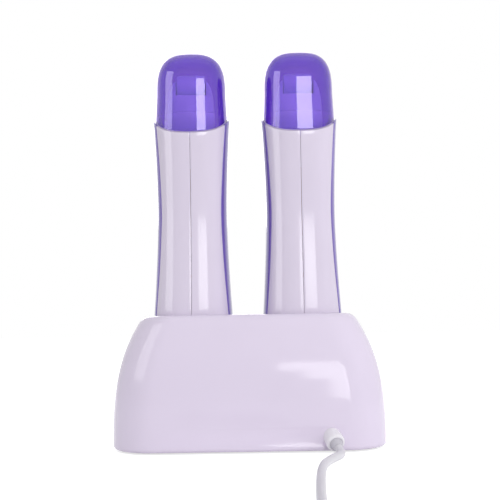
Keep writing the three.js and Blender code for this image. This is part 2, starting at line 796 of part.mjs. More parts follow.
function makeSwitch(side, sign) {
  const x = (sign * warmerPitch) / 2;
  const face = -(baseHalfDepthAt(switchHeight) + bezelThickness);
  const bezel = block(
    x - switchHalfWidth - bezelRim, x + switchHalfWidth + bezelRim, face, face + switchDepth,
    switchHeight - switchHalfHeight - bezelRim, switchHeight + switchHalfHeight + bezelRim,
  ).subtract(baseBody(-gap, 0, baseHeight));
  const cavityHalfHeight = rockerHalfHeight + rockerEnd;
  const rockerHalfWidth = switchHalfWidth - switchWall - rockerSide;
  const body = block(
    x - switchHalfWidth, x + switchHalfWidth, face + gap, face + switchDepth,
    switchHeight - switchHalfHeight, switchHeight + switchHalfHeight,
  ).add(bezel)
    .subtract(block(
      x - switchHalfWidth + switchWall, x + switchHalfWidth - switchWall, face - overrun,
      pivotY + rockerDepth + rockerEnd, switchHeight - cavityHalfHeight, switchHeight + cavityHalfHeight,
    ))
    .subtract(barAlongX(
      rockerAxleRadius + gap, x - switchHalfWidth - gap, x + switchHalfWidth + gap, pivotY, switchHeight,
    ));
  add(`${side}_switch_body`, body, 'inner');
  const outline = [
    [-rockerProud, -rockerHalfHeight], [-rockerProud + rockerDip, 0], [-rockerProud, rockerHalfHeight],
    [rockerPivotIn, rockerHalfHeight], [rockerDepth, rockerHalfHeight / 2],
    [rockerDepth, -rockerHalfHeight / 2], [rockerPivotIn, -rockerHalfHeight],
  ].map(([y, z]) => [
    pivotY + y * Math.cos(rockerTiltAngle) - z * Math.sin(rockerTiltAngle),
    switchHeight + y * Math.sin(rockerTiltAngle) + z * Math.cos(rockerTiltAngle),
  ]);
  const rocker = prismAlongX(outline.reverse(), x - rockerHalfWidth, x + rockerHalfWidth)
    .add(barAlongX(
      rockerAxleRadius, x - switchHalfWidth, x + switchHalfWidth, pivotY, switchHeight,
    ));
  add(`${side}_rocker`, rocker, 'rubber');
}

// A tube with flat ends through points in a row, each with its own radius
function tube(points, radii, sides) {
  const rings = [];
  let across = new THREE.Vector3(0, 0, 1);
  points.forEach((point, index) => {
    const before = points[Math.max(0, index - 1)];
    const after = points[Math.min(points.length - 1, index + 1)];
    const along = after.clone().sub(before).normalize();
    const beside = along.clone().cross(across).normalize();
    across = beside.clone().cross(along).normalize();
    const ring = [];
    for (let side = 0; side < sides; side += 1) {
      const angle = (-2 * halfTurnAngle * side) / sides;
      ring.push(point.clone()
        .addScaledVector(beside, radii[index] * Math.cos(angle))
        .addScaledVector(across, radii[index] * Math.sin(angle)));
    }
    rings.push(ring);
  });
  return loft(rings);
}

// A smooth line through points, with its first and last stretch straight
function smoothLine(through, steps) {
  const curve = new THREE.CatmullRomCurve3(through, false, 'centripetal');
  const first = 1 / (through.length - 1);
  const points = [through[0]];
  for (let step = 0; step <= steps; step += 1) {
    points.push(curve.getPoint(first + (1 - 2 * first) * (step / steps)));
  }
  points.push(through[through.length - 1]);
  return points;
}

const onFrame = (x, y, z) => new THREE.Vector3(x, y, z).applyMatrix4(glandFrame);

function makeEntry() {
  const gland = turned([
    [0, -glandIn], [glandRadius, -glandIn], [glandRadius, glandOut - glandLip],
    [glandRadius - glandLip, glandOut], [0, glandOut],
  ]).applyMatrix4(glandFrame);
  const bore = turned([
    [0, -overrun], [reliefRootRadius + gap, -overrun], [reliefRootRadius + gap, overrun], [0, overrun],
  ]).applyMatrix4(glandFrame);
  add('cord_gland', solid(gland).subtract(solid(bore)), 'shell');
  const profile = [[0, -reliefIn], [reliefRootRadius, -reliefIn], [reliefRootRadius, glandOut - glandLip]];
  const ribPitch = (reliefOut - glandOut) / reliefRibCount;
  for (let rib = 0; rib < reliefRibCount; rib += 1) {
    const at = glandOut + rib * ribPitch;
    const radius = reliefRootRadius + ((reliefTipRadius - reliefRootRadius) * (rib + 1)) / reliefRibCount;
    profile.push([radius, at], [radius, at + ribPitch / 2], [radius - reliefRib, at + ribPitch / 2]);
    profile.push([radius - reliefRib, at + ribPitch]);
  }
  profile.push([0, reliefOut]);
  add('strain_relief', solid(turned(profile).applyMatrix4(glandFrame)), 'grey');
}

function makeLead() {
  const start = onFrame(0, 0, reliefOut + gap);
  const straight = onFrame(0, 0, reliefOut + gap + cordStraight);
  const route = leadRoute.map((point) => new THREE.Vector3(...point));
  const end = new THREE.Vector3(coilStartX, coilY - 2 * cordRadius - gap, cordRadius);
  const beforeEnd = end.clone().setY(end.y - 2 * cordRadius);
  const points = smoothLine([start, straight, ...route, beforeEnd, end], cordSteps);
  add('power_cord', tube(points, points.map(() => cordRadius), cordSides), 'lead');
}

function makeInnerLead() {
  const start = onFrame(0, 0, -reliefIn - gap);
  const straight = onFrame(0, 0, -reliefIn - gap - 2 * cordRadius);
  const end = new THREE.Vector3(-blockHalfWidth + blockMouth, 0, innerLeadMiddle[2]);
  const before = end.clone().setX(end.x - innerLeadEnd);
  const middle = new THREE.Vector3(...innerLeadMiddle);
  const points = smoothLine([start, straight, middle, before, end], innerLeadSteps);
  add('inner_lead', tube(points, points.map(() => cordRadius), cordSides), 'lead');
  const bottom = plateTop + gap;
  const terminal = block(
    -blockHalfWidth, blockHalfWidth, -blockHalfDepth, blockHalfDepth, bottom, bottom + blockHeight,
  ).subtract(barAlongX(
    cordRadius + gap, -blockHalfWidth - overrun, -blockHalfWidth + blockMouth + gap, 0, end.z,
  ));
  add('terminal_block', terminal, 'inner');
  const clamp = block(
    middle.x - clampHalfLength, middle.x + clampHalfLength, middle.y - clampHalfLength,
    middle.y + clampHalfLength, bottom, middle.z + cordRadius + gap + clampBridge,
  );
  const cutter = tube(points, points.map(() => cordRadius + gap), cordSides);
  add('cord_clamp', clamp.subtract(cutter), 'inner');
}

// Coil: in along the table, up a layer in half a turn, and out again on top
const coilPitch = 2 * cordRadius + coilGap;
const coilX = coilStartX + coilRadius;

function coilPoint(turn) {
  const climb = Math.min(1, Math.max(0, (turn - coilTurnCount) / coilClimbTurns));
  const turnBack = coilTurnCount + coilClimbTurns / 2;
  const inTurns = Math.min(turn, turnBack);
  const outTurns = Math.max(0, turn - turnBack);
  const radius = coilRadius - coilPitch * (inTurns - outTurns);
  const angle = halfTurnAngle - 2 * halfTurnAngle * turn;
  return new THREE.Vector3(
    coilX + radius * Math.cos(angle), coilY + radius * Math.sin(angle), cordRadius + coilPitch * climb,
  );
}

function makeCoil() {
  const total = coilTurnCount + coilTopTurns;
  const steps = Math.round(total * coilLoopSteps);
  const points = [new THREE.Vector3(coilStartX, coilY - 2 * cordRadius, cordRadius)];
  points.push(points[0].clone().setY(coilY - cordRadius));
  for (let step = 0; step <= steps; step += 1) points.push(coilPoint((total * step) / steps));
  const last = points[points.length - 1];
  const tailDrop = last.z - plugHalfHeight;
  for (let step = 1; step <= tailSteps; step += 1) {
    const share = step / tailSteps;
    const late = Math.max(0, 2 * share - 1);
    const ease = late * late * (3 - 2 * late);
    points.push(new THREE.Vector3(last.x + tailLength * share, last.y, last.z - tailDrop * ease));
  }
  const tip = points[points.length - 1];
  points.push(tip.clone().setX(tip.x + 2 * cordRadius));
  add('cord_coil', tube(points, points.map(() => cordRadius), coilSides), 'lead');
  let least = Infinity;
  points.forEach((a, i) => points.forEach((b, j) => {
    if (j > i + coilLoopSteps / 2) least = Math.min(least, a.distanceTo(b));
  }));
  console.log(`cord_coil: least gap to itself ${(least - 2 * cordRadius).toFixed(2)} mm`);
  return points[points.length - 1];
}

function makePlug(end) {
  const neckStart = end.x + gap;
  const bodyStart = neckStart + plugNeckLength;
  const bodyEnd = bodyStart + plugLength;
  const outline = [
    [bodyStart, -plugHalfWidth / 2], [bodyStart + plugHalfWidth / 2, -plugHalfWidth],
    [bodyEnd, -plugHalfWidth + plugPinRadius], [bodyEnd, plugHalfWidth - plugPinRadius],
    [bodyStart + plugHalfWidth / 2, plugHalfWidth], [bodyStart, plugHalfWidth / 2],
  ].map(([x, y]) => new THREE.Vector2(x, end.y + y));
  const slab = new THREE.ExtrudeGeometry(new THREE.Shape(outline), {
    depth: 2 * plugHalfHeight, bevelEnabled: false,
  });
  let plug = solid(slab).add(barAlongX(
    plugNeckRadius, neckStart, bodyStart + gap, end.y, plugHalfHeight, roundSides,
  ));
  for (const [name, out] of [['plug_pin_1', -plugPinOut], ['plug_pin_2', plugPinOut]]) {
    const root = bodyEnd - plugPinRoot;
    plug = plug.subtract(barAlongX(
      plugPinRadius + gap, root - gap, bodyEnd + overrun, end.y + out, plugHalfHeight,
    ));
    add(name, barAlongX(
      plugPinRadius, root, bodyEnd + plugPinLength, end.y + out, plugHalfHeight,
    ), 'metal');
  }
  add('plug_body', plug, 'lead');
}

makeHousing();
makePlate();
makeFeet();
makeScrews();
for (const [side, sign] of warmerPlaces) {
  makeWell(side, sign);
  makeSwitch(side, sign);
  makeWarmer(side, sign);
}
makeEntry();
makeLead();
makeInnerLead();
makePlug(makeCoil());

export default group;
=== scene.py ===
"""Twin roll-on wax warmer: two lift-out warmers in one mains base, seen from behind in a studio."""
import math

import bmesh
import bpy
from mathutils import Euler, Matrix, Vector


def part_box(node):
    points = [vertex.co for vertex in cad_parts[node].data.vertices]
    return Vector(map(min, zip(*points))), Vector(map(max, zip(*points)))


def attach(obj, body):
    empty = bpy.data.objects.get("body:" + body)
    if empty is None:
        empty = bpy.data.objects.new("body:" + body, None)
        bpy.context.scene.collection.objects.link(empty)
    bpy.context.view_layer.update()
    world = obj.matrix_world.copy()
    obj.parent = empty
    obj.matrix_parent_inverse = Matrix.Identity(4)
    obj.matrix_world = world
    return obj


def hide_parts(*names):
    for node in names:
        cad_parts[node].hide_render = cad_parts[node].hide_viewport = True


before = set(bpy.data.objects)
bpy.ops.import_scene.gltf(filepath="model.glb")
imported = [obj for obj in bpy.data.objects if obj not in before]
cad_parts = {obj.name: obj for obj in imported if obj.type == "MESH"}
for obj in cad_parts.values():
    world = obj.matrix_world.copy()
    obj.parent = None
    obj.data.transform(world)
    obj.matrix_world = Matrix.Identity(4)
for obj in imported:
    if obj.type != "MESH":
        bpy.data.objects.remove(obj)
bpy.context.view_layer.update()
MM = 0.001

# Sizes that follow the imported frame, in metres
BASE_LOW, BASE_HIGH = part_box("base_housing")
BASE_TOP = BASE_HIGH.z
BASE_HALF_WIDTH = BASE_HIGH.x
BASE_HALF_DEPTH = BASE_HIGH.y
BODY_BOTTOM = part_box("left_casing_outboard")[0].z
HORN_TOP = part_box("left_side_panel_outboard")[1].z
WARMERS = (("left", -1), ("right", 1))


def middle(node):
    low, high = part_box(node)
    return (low + high) / 2


PITCH_HALF = middle("right_cap").x


def in_mm(*pairs):
    return [(first * MM, second * MM) for first, second in pairs]


# Shared shapes
WALL = 2.5 * MM
GAP = 0.3 * MM
WAIST_Z = 190 * MM
RIM_Z = 262 * MM
WAIST = (28.4 * MM, 25.2 * MM)
LOW_FLARE = (3.6 * MM, 4.8 * MM)
RIM_FLARE = (2.8 * MM, 3.9 * MM)
FLARE_EXPONENT = 1.6
BODY_TAPER = 2 * MM
BODY_EXPONENT = 2.7
RIM_DIP = 15.8 * MM
RIM_DIP_EXPONENT = 1.34
RIM_START = 205 * MM
PANEL_HALF_DEPTH = 17 * MM
PANEL_BOTTOM = 72 * MM
BASE_DRAW_IN = (24.1 * MM, 11 * MM)
BASE_DRAW_IN_EXPONENT = 3.03
BASE_CORNER = 35 * MM
BASE_CORNER_DRAW_IN = 6 * MM
OVERRUN = 5 * MM


# Camera: behind the object, low, tilted a little up

CAMERA_PLACE = (-2.5 * MM, 700 * MM, 105 * MM)
CAMERA_UP_DEGREES = 4.51
CAMERA_ROLL_DEGREES = 0.93
FOCAL_PIXELS = 838.6
FRAME_PIXELS = 500
SENSOR_MM = 36
NEAREST_SEEN = 10 * MM


def make_camera():
    bpy.ops.object.camera_add(location=CAMERA_PLACE)
    camera = bpy.context.object
    camera.name = "camera"
    camera.data.sensor_width = SENSOR_MM
    camera.data.lens = SENSOR_MM * FOCAL_PIXELS / FRAME_PIXELS
    camera.data.clip_start = NEAREST_SEEN
    level = Euler((math.radians(90 + CAMERA_UP_DEGREES), 0, math.radians(180))).to_matrix()
    roll = Matrix.Rotation(math.radians(-CAMERA_ROLL_DEGREES), 3, "Z")
    camera.rotation_euler = (level @ roll).to_euler()
    bpy.context.scene.camera = camera


# Modelling helpers: a primitive, then edit mode, with everything picked in code

# Points closer than this count as one
SAME_PLACE = 1e-6


def finish_placing(name):
    piece = bpy.context.object
    piece.name = name
    piece.data.name = name
    bpy.ops.object.transform_apply(location=True, rotation=True, scale=True)
    return piece


def only(piece):
    if bpy.context.object and bpy.context.object.mode != "OBJECT":
        bpy.ops.object.mode_set(mode="OBJECT")
    bpy.ops.object.select_all(action="DESELECT")
    piece.select_set(True)
    bpy.context.view_layer.objects.active = piece


def edit(piece):
    only(piece)
    bpy.ops.object.mode_set(mode="EDIT")


def edit_all(piece):
    edit(piece)
    bpy.ops.mesh.select_all(action="SELECT")


def done():
    bpy.ops.object.mode_set(mode="OBJECT")


def pick(piece, test, kind="VERT"):
    bpy.ops.mesh.select_mode(type=kind)
    bpy.ops.mesh.select_all(action="DESELECT")
    mesh = bmesh.from_edit_mesh(piece.data)
    for item in {"VERT": mesh.verts, "EDGE": mesh.edges, "FACE": mesh.faces}[kind]:
        if test(item):
            item.select_set(True)
    mesh.select_flush_mode()
    bmesh.update_edit_mesh(piece.data)


def grow(factor_x, factor_y, factor_z, centre):
    bpy.ops.transform.resize(value=(factor_x, factor_y, factor_z), center_override=centre)


def modifier(piece, kind, **settings):
    only(piece)
    made = piece.modifiers.new(kind.lower(), kind)
    for key, value in settings.items():
        setattr(made, key, value)
    bpy.ops.object.modifier_apply(modifier=made.name)


def solidify(piece, thickness):
    modifier(piece, "SOLIDIFY", thickness=thickness, offset=-1, use_even_offset=True)


def bevel(piece, width, segments=2, angle=35):
    modifier(piece, "BEVEL", width=width, segments=segments, limit_method="ANGLE",
             angle_limit=math.radians(angle))


def smooth(piece, angle=35):
    only(piece)
    bpy.ops.object.shade_smooth_by_angle(angle=math.radians(angle))


def combine(piece, other, operation):
    modifier(piece, "BOOLEAN", operation=operation, object=other, solver="EXACT")
    bpy.data.objects.remove(other)


def cut(piece, cutter):
    combine(piece, cutter, "DIFFERENCE")


def block(name, low, high):
    centre = [(a + b) / 2 for a, b in zip(low, high)]
    bpy.ops.mesh.primitive_cube_add(size=1, location=centre, scale=[b - a for a, b in zip(low, high)])
    return finish_placing(name)


def rod(name, radius, start, end, vertices=32):
    start, end = Vector(start), Vector(end)
    bpy.ops.mesh.primitive_cylinder_add(
        vertices=vertices, radius=radius, depth=(end - start).length, location=(start + end) / 2,
        rotation=(end - start).to_track_quat("Z", "Y").to_euler())
    return finish_placing(name)


def join(first, *others):
    only(first)
    for other in others:
        other.select_set(True)
    bpy.ops.object.join()
    return first


def outward(piece):
    edit_all(piece)
    bpy.ops.mesh.remove_doubles(threshold=SAME_PLACE)
    bpy.ops.mesh.normals_make_consistent(inside=False)
    done()


def shift(piece, move):
    edit_all(piece)
    bpy.ops.transform.translate(value=move)
    done()


def dress(piece, material, body, slot, *nodes):
    piece.data.materials.clear()
    piece.data.materials.append(material)
    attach(piece, body)
    if nodes:
        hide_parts(*nodes)
    return piece


# Finishes: every one has its own grain, gloss and faint change of tone

# The part of a noise's range that a change of tone or gloss runs over
NOISE_LOW = 0.2
NOISE_HIGH = 0.8
# Moulded plastic: scale and detail of the drift, detail and strength of the skin, roughness of a coat
MOULDED_DRIFT = (18.0, 2.0)
SKIN_DETAIL = 4.0
SKIN_STRENGTH = 0.15
COAT_ROUGHNESS = 0.04
# Drawn metal: scale and detail of its lines, how much they change the tone, strength and depth of the lines
METAL_LINES = (240.0, 4.0)
METAL_TONES = (0.92, 1.06)
METAL_RELIEF = (0.2, 1e-5)


def grain(nodes, links, scale, detail=3.0, stretch=None):
    place = nodes.new("ShaderNodeTexCoord")
    noise = nodes.new("ShaderNodeTexNoise")
    noise.inputs["Scale"].default_value = scale
    noise.inputs["Detail"].default_value = detail
    if stretch:
        mapping = nodes.new("ShaderNodeMapping")
        mapping.inputs["Scale"].default_value = stretch
        links.new(place.outputs["Object"], mapping.inputs["Vector"])
        links.new(mapping.outputs["Vector"], noise.inputs["Vector"])
    else:
        links.new(place.outputs["Object"], noise.inputs["Vector"])
    return noise


def tone(nodes, links, noise, first, second):
    ramp = nodes.new("ShaderNodeValToRGB")
    for end, position, colour in zip(ramp.color_ramp.elements, (NOISE_LOW, NOISE_HIGH), (first, second)):
        end.position = position
        end.color = (*colour, 1)
    links.new(noise.outputs["Fac"], ramp.inputs["Fac"])
    return ramp


def span(nodes, links, noise, low, high):
    fit = nodes.new("ShaderNodeMapRange")
    for key, value in (("From Min", NOISE_LOW), ("From Max", NOISE_HIGH), ("To Min", low), ("To Max", high)):
        fit.inputs[key].default_value = value
    links.new(noise.outputs["Fac"], fit.inputs["Value"])
    return fit


def relief_of(nodes, links, noise, shader, strength, depth):
    bump = nodes.new("ShaderNodeBump")
    bump.inputs["Strength"].default_value = strength
    bump.inputs["Distance"].default_value = depth
    links.new(noise.outputs["Fac"], bump.inputs["Height"])
    links.new(bump.outputs["Normal"], shader.inputs["Normal"])


def from_srgb(*channels):
    """The shader's colour for one given in levels from 0 to 255, by the sRGB law."""
    shares = [level / 255 for level in channels]
    return tuple(share / 12.92 if share <= 0.04045 else ((share + 0.055) / 1.055) ** 2.4 for share in shares)


def shade(colour, factor):
    return tuple(min(1.0, part * factor) for part in colour)


def surface(name, drift, colours, gloss, skin, relief, stretch=None, **settings):
    """A finish whose tone and gloss drift with one noise and whose relief follows another, finer one.

    drift and skin are (scale, detail), gloss is (low, high) roughness, relief is (strength, depth).
    Without a skin the relief follows the drift. Settings are other inputs of the shader.
    """
    finish = bpy.data.materials.new(name)
    finish.use_nodes = True
    nodes, links = finish.node_tree.nodes, finish.node_tree.links
    shader = nodes["Principled BSDF"]
    slow = grain(nodes, links, *drift, stretch)
    fine = grain(nodes, links, *skin) if skin else slow
    links.new(tone(nodes, links, slow, *colours).outputs["Color"], shader.inputs["Base Color"])
    links.new(span(nodes, links, slow, *gloss).outputs["Result"], shader.inputs["Roughness"])
    relief_of(nodes, links, fine, shader, *relief)
    for key, value in settings.items():
        shader.inputs[key.replace("_", " ")].default_value = value
    return finish


# Moulded plastics and rubbers: name, colour, gloss, scale and depth of the skin, change of tone, then what
# differs from the usual shine and coat
MOULDED = {
    # Painted shade: the shell is the base's white plastic, painted darker than the base.
    "shell": ("glossy_white_painted_shade", (223, 213, 231), (0.07, 0.11), 900, 2e-6, 0.012, {"shine": 0.42}),
    "base": ("base_white_plastic", (230, 219, 238), (0.06, 0.1), 900, 2e-6, 0.012, {"shine": 0.28}),
    "gland": ("cord_boss_plastic", (242, 239, 244), (0.08, 0.12), 900, 2e-6, 0.012, {"shine": 0.35}),
    "panel": ("purple_panel_plastic", (112, 90, 178), (0.18, 0.25), 900, 4e-6, 0.04, {"coat": 0.4}),
    "inner": ("dark_inner_plastic", (60, 59, 66), (0.5, 0.62), 1500, 2e-5, 0.08, {}),
    "lead": ("lead_sheath", (226, 224, 229), (0.36, 0.46), 1600, 1.5e-5, 0.02, {}),
    "plug": ("plug_plastic", (224, 222, 227), (0.34, 0.44), 1100, 2e-5, 0.02, {}),
    "relief": ("strain_relief_rubber", (206, 203, 211), (0.5, 0.62), 1500, 2e-5, 0.05, {}),
    "rubber": ("foot_rubber", (46, 45, 49), (0.72, 0.86), 1800, 4e-5, 0.1, {}),
    "rocker": ("rocker_plastic", (44, 43, 48), (0.16, 0.24), 1300, 8e-6, 0.06, {}),
    # Painted light: the head is white plastic, painted pale blue for the tinted light that comes through the
    # cap, which here casts no shadow.
    "head": ("roller_head_painted_tint", (199, 211, 237), (0.25, 0.33), 1200, 1e-5, 0.02, {}),
    # Painted light: the roller too is painted pale blue for the cap's tinted light, and painted lighter than
    # the head against the shade of its recess.
    "roller": ("roller_painted_tint_and_light", (211, 221, 247), (0.25, 0.33), 1200, 1e-5, 0.02, {}),
    "well": ("well_plastic", (214, 206, 224), (0.34, 0.42), 1300, 1.2e-5, 0.02, {}),
}
METALS = {
    "metal": ("brushed_steel", (0.62, 0.62, 0.64), (0.26, 0.4), (1, 1, 12)),
    "brass": ("brass_contact", (0.72, 0.52, 0.22), (0.22, 0.36), (10, 10, 1)),
    "aluminium": ("drawn_aluminium", (0.66, 0.66, 0.68), (0.3, 0.44), (12, 12, 1)),
}


def moulded(name, colour, gloss, skin_scale, depth, change, shine=0.5, coat=0.0):
    """Moulded plastic: a fine skin texture and slow drift of tone."""
    tones = [shade(from_srgb(*colour), factor) for factor in (1 - change, 1 + change)]
    return surface(name, MOULDED_DRIFT, tones, gloss, (skin_scale, SKIN_DETAIL), (SKIN_STRENGTH, depth),
                   Specular_IOR_Level=shine, Coat_Weight=coat, Coat_Roughness=COAT_ROUGHNESS)


def drawn_metal(name, colour, gloss, stretch):
    """Bare metal with drawing lines, which the stretch lays out along one way."""
    tones = [shade(colour, factor) for factor in METAL_TONES]
    return surface(name, METAL_LINES, tones, gloss, None, METAL_RELIEF, stretch, Metallic=1)


def clear_cover():
    """Clear purple plastic: it colours light by the depth that the light runs through, and on its coat."""
    finish = surface(
        "clear_purple_cover", (30.0, 2.0), ((0.97, 0.87, 0.98), (1.0, 0.91, 1.0)), (0.02, 0.05), (220, 2.0),
        (0.05, 6e-6), Transmission_Weight=0.97, IOR=1.49, Coat_Weight=0.7, Coat_Roughness=0.02,
        Coat_Tint=(0.72, 0.58, 0.94, 1))
    nodes = finish.node_tree.nodes
    depth = nodes.new("ShaderNodeVolumeAbsorption")
    depth.inputs["Color"].default_value = (0.61, 0.40, 0.87, 1)
    depth.inputs["Density"].default_value = 540
    finish.node_tree.links.new(depth.outputs["Volume"], nodes["Material Output"].inputs["Volume"])
    return finish


def make_finishes():
    made = {key: moulded(*values, **other) for key, (*values, other) in MOULDED.items()}
    made.update({key: drawn_metal(*values) for key, values in METALS.items()})
    made["cap"] = clear_cover()
    made["window"] = surface(
        "smoky_window_plastic", (60.0, 2.0), ((0.42, 0.36, 0.50), (0.50, 0.44, 0.58)), (0.05, 0.1),
        (260, 2.0), (0.05, 5e-6), Transmission_Weight=0.8, IOR=1.46)
    made["lamp"] = surface(
        "lamp_lens", (500.0, 1.0), (from_srgb(232, 120, 84), from_srgb(242, 138, 98)), (0.1, 0.18),
        (1400, 1.0), (0.2, 1e-5), Transmission_Weight=0.35)
    made["wax"] = surface(
        "honey_wax", (70.0, 4.0), (from_srgb(214, 160, 88), from_srgb(232, 184, 112)), (0.22, 0.36),
        (320, 3.0), (0.2, 4e-5), Subsurface_Weight=0.25, Subsurface_Radius=(0.006, 0.003, 0.0015))
    made["heater"] = surface(
        "heater_foil", (160.0, 3.0), (from_srgb(176, 104, 36), from_srgb(204, 130, 50)), (0.32, 0.5),
        (700, 3.0), (0.3, 4e-5))
    return made


CAD_FINISHES = {
    "base_plate": "inner", "contact_block": "inner", "contact_pin": "brass", "cord_clamp": "inner",
    "terminal_block": "inner", "inner_lead": "lead", "screw": "metal", "plug_pin": "metal",
    "heater_sleeve": "aluminium", "heater_pad": "heater", "thermostat": "inner", "socket": "inner",
}


def dress_cad_nodes(finishes):
    for name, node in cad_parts.items():
        for part, key in CAD_FINISHES.items():
            if part in name:
                node.data.materials.clear()
                node.data.materials.append(finishes[key])
                break


# Rings: a circle squared off to a superellipse, then drawn upwards ring by ring

SAME_ANGLE = 0.01
# Points of a ring that sag alike are found by their depth, rounded to this many levels
LEVELS_PER_METRE = 1e5


def squareness(angle, exponent):
    return (abs(math.cos(angle)) ** exponent + abs(math.sin(angle)) ** exponent) ** (-1 / exponent)


def chosen(piece):
    mesh = bmesh.from_edit_mesh(piece.data)
    return [vertex.index for vertex in mesh.verts if vertex.select]


def choose(piece, indices):
    bpy.ops.mesh.select_mode(type="VERT")
    bpy.ops.mesh.select_all(action="DESELECT")
    mesh = bmesh.from_edit_mesh(piece.data)
    mesh.verts.ensure_lookup_table()
    for index in indices:
        mesh.verts[index].select_set(True)
    mesh.select_flush_mode()
    bmesh.update_edit_mesh(piece.data)


def rim_dip(y):
    return RIM_DIP * (abs(y) / (WAIST[1] + RIM_FLARE[1])) ** RIM_DIP_EXPONENT


def body_size(z, out=0.0):
    low = min(1.0, max(0.0, (WAIST_Z - z) / (WAIST_Z - BASE_TOP)))
    high = max(0.0, (z - WAIST_Z) / (RIM_Z - WAIST_Z))
    sunk = max(0.0, (BASE_TOP - z) / (BASE_TOP - BODY_BOTTOM))
    return tuple(
        WAIST[i] + LOW_FLARE[i] * low ** FLARE_EXPONENT + RIM_FLARE[i] * high ** FLARE_EXPONENT
        - BODY_TAPER * sunk + out for i in (0, 1))


def follow_rim(piece, ring, z, share, law):
    """Lets the ring sag to the saddle-shaped rim: high at the sides, low at front and back."""
    mesh = bmesh.from_edit_mesh(piece.data)
    mesh.verts.ensure_lookup_table()
    levels = {}
    for index in ring:
        levels.setdefault(round(abs(mesh.verts[index].co.y) * LEVELS_PER_METRE), []).append(index)
    for level, members in levels.items():
        drop = share * rim_dip(level / LEVELS_PER_METRE)
        choose(piece, members)
        bpy.ops.transform.translate(value=(0, 0, -drop))
        here, there = law(z), law(z - drop)
        grow(there[0] / here[0], there[1] / here[1], 1, (0, 0, z - drop))


def draw_rings(name, rings, exponent, sides=64, close_start=True, close_end=True):
    """Rings are (height, law of half sizes, share of the rim's dip), in drawing order."""
    bpy.ops.mesh.primitive_circle_add(vertices=sides, radius=1, fill_type="NOTHING")
    piece = finish_placing(name)
    edit(piece)
    for step in range(sides // 4 + 1):
        angle = 2 * math.pi * step / sides
        pick(piece, lambda v: abs(math.atan2(abs(v.co.y), abs(v.co.x)) - angle) < SAME_ANGLE)
        factor = squareness(angle, exponent)
        grow(factor, factor, 1, (0, 0, 0))
    height, law, share = rings[0]
    width, depth = law(height)
    bpy.ops.mesh.select_all(action="SELECT")
    grow(width, depth, 1, (0, 0, 0))
    bpy.ops.transform.translate(value=(0, 0, height))
    if close_start:
        bpy.ops.mesh.edge_face_add()
    sagging = [(chosen(piece), height, share, law)] if share else []
    for new_height, law, share in rings[1:]:
        bpy.ops.mesh.extrude_edges_move(TRANSFORM_OT_translate={"value": (0, 0, new_height - height)})
        new_width, new_depth = law(new_height)
        grow(new_width / width, new_depth / depth, 1, (0, 0, new_height))
        height, width, depth = new_height, new_width, new_depth
        if share:
            sagging.append((chosen(piece), height, share, law))
    if close_end:
        bpy.ops.mesh.edge_face_add()
    for ring, height, share, law in sagging:
        follow_rim(piece, ring, height, share, law)
    done()
    outward(piece)
    return piece


def cut_plane(piece, place, normal, drop=None, fill=False):
    """Cuts along a plane; drop says which side goes: above (where the normal points) or below."""
    edit_all(piece)
    bpy.ops.mesh.bisect(plane_co=place, plane_no=normal, use_fill=fill,
                        clear_inner=drop == "below", clear_outer=drop == "above")
    done()


def copy_of(piece, name, move=(0, 0, 0)):
    only(piece)
    bpy.ops.object.duplicate(linked=False)
    made = bpy.context.object
    made.name = name
    made.data.name = name
    bpy.ops.transform.translate(value=move)
    bpy.ops.object.transform_apply(location=True, rotation=True, scale=True)
    return made


def turned(name, profile, start, direction, sides=48):
    """A turned piece: profile is (radius, distance along the direction), from one end to the other."""
    bpy.ops.mesh.primitive_circle_add(vertices=sides, radius=profile[0][0], fill_type="NOTHING")
    piece = finish_placing(name)
    edit_all(piece)
    bpy.ops.transform.translate(value=(0, 0, profile[0][1]))
    bpy.ops.mesh.edge_face_add()
    radius, along = profile[0]
    for new_radius, new_along in profile[1:]:
        bpy.ops.mesh.extrude_edges_move(TRANSFORM_OT_translate={"value": (0, 0, new_along - along)})
        grow(new_radius / radius, new_radius / radius, 1, (0, 0, new_along))
        radius, along = new_radius, new_along
    bpy.ops.mesh.edge_face_add()
    done()
    outward(piece)
    only(piece)
    piece.rotation_mode = "QUATERNION"
    piece.rotation_quaternion = Vector(direction).normalized().to_track_quat("Z", "Y")
    piece.location = start
    bpy.ops.object.transform_apply(location=True, rotation=True, scale=True)
    piece.rotation_mode = "XYZ"
    return piece


# Lead: out of the gland, over the table, into its coil

LEAD_RADIUS = 3.1 * MM
LEAD_ROUNDNESS = 7
LEAD_STEPS = 6
GLAND_X = -63.5 * MM
GLAND_Z = 11.3 * MM
GLAND_DROOP = math.radians(22)
GLAND_TURN = math.radians(12)
GLAND_OUT = 8.5 * MM
RELIEF_OUT = 14 * MM
# Where the lead leaves the strain relief, in mm along it, then its places on the table in mm
ROUTE_START = (0.3, 1.3, 2.3)
ROUTE = [
    (-67.2, 70.4, 4), (-67.1, 74.4, 3.3), (-65.7, 79.4, 3.2), (-63.2, 85.2, 3.2), (-59.8, 92, 3.2),
    (-56.3, 100.3, 3.2), (-51.9, 114, 3.2), (-48.7, 130.8, 3.2), (-46.1, 151.9, 3.2), (-44.2, 171.5, 3.2),
    (-42.5, 192.7, 3.2), (-41, 212.2, 3.2), (-39.8, 231, 3.2), (-39.1, 250, 3.2), (-39, 268, 3.2),
    (-39, 294.3, 3.1),
]
COIL_START = Vector((-39 * MM, 307 * MM, LEAD_RADIUS))
COIL_RADIUS = 39.5 * MM
COIL_PITCH = 6.7 * MM
COIL_TURNS = 2
COIL_CLIMB = 0.5
COIL_TOP_TURNS = 2.25
COIL_POINTS = 20
TAIL = 35.2 * MM
TAIL_STEPS = 8
PLUG_Z = 7 * MM
PLUG_NECK = in_mm((3.4, 0), (3.6, 0.6), (3.9, 2), (3.7, 3.2), (4.2, 5.2), (4.0, 6.6), (4.6, 8.8), (4.5, 10),
                  (5.2, 13))
GRIP_START = 12 * MM
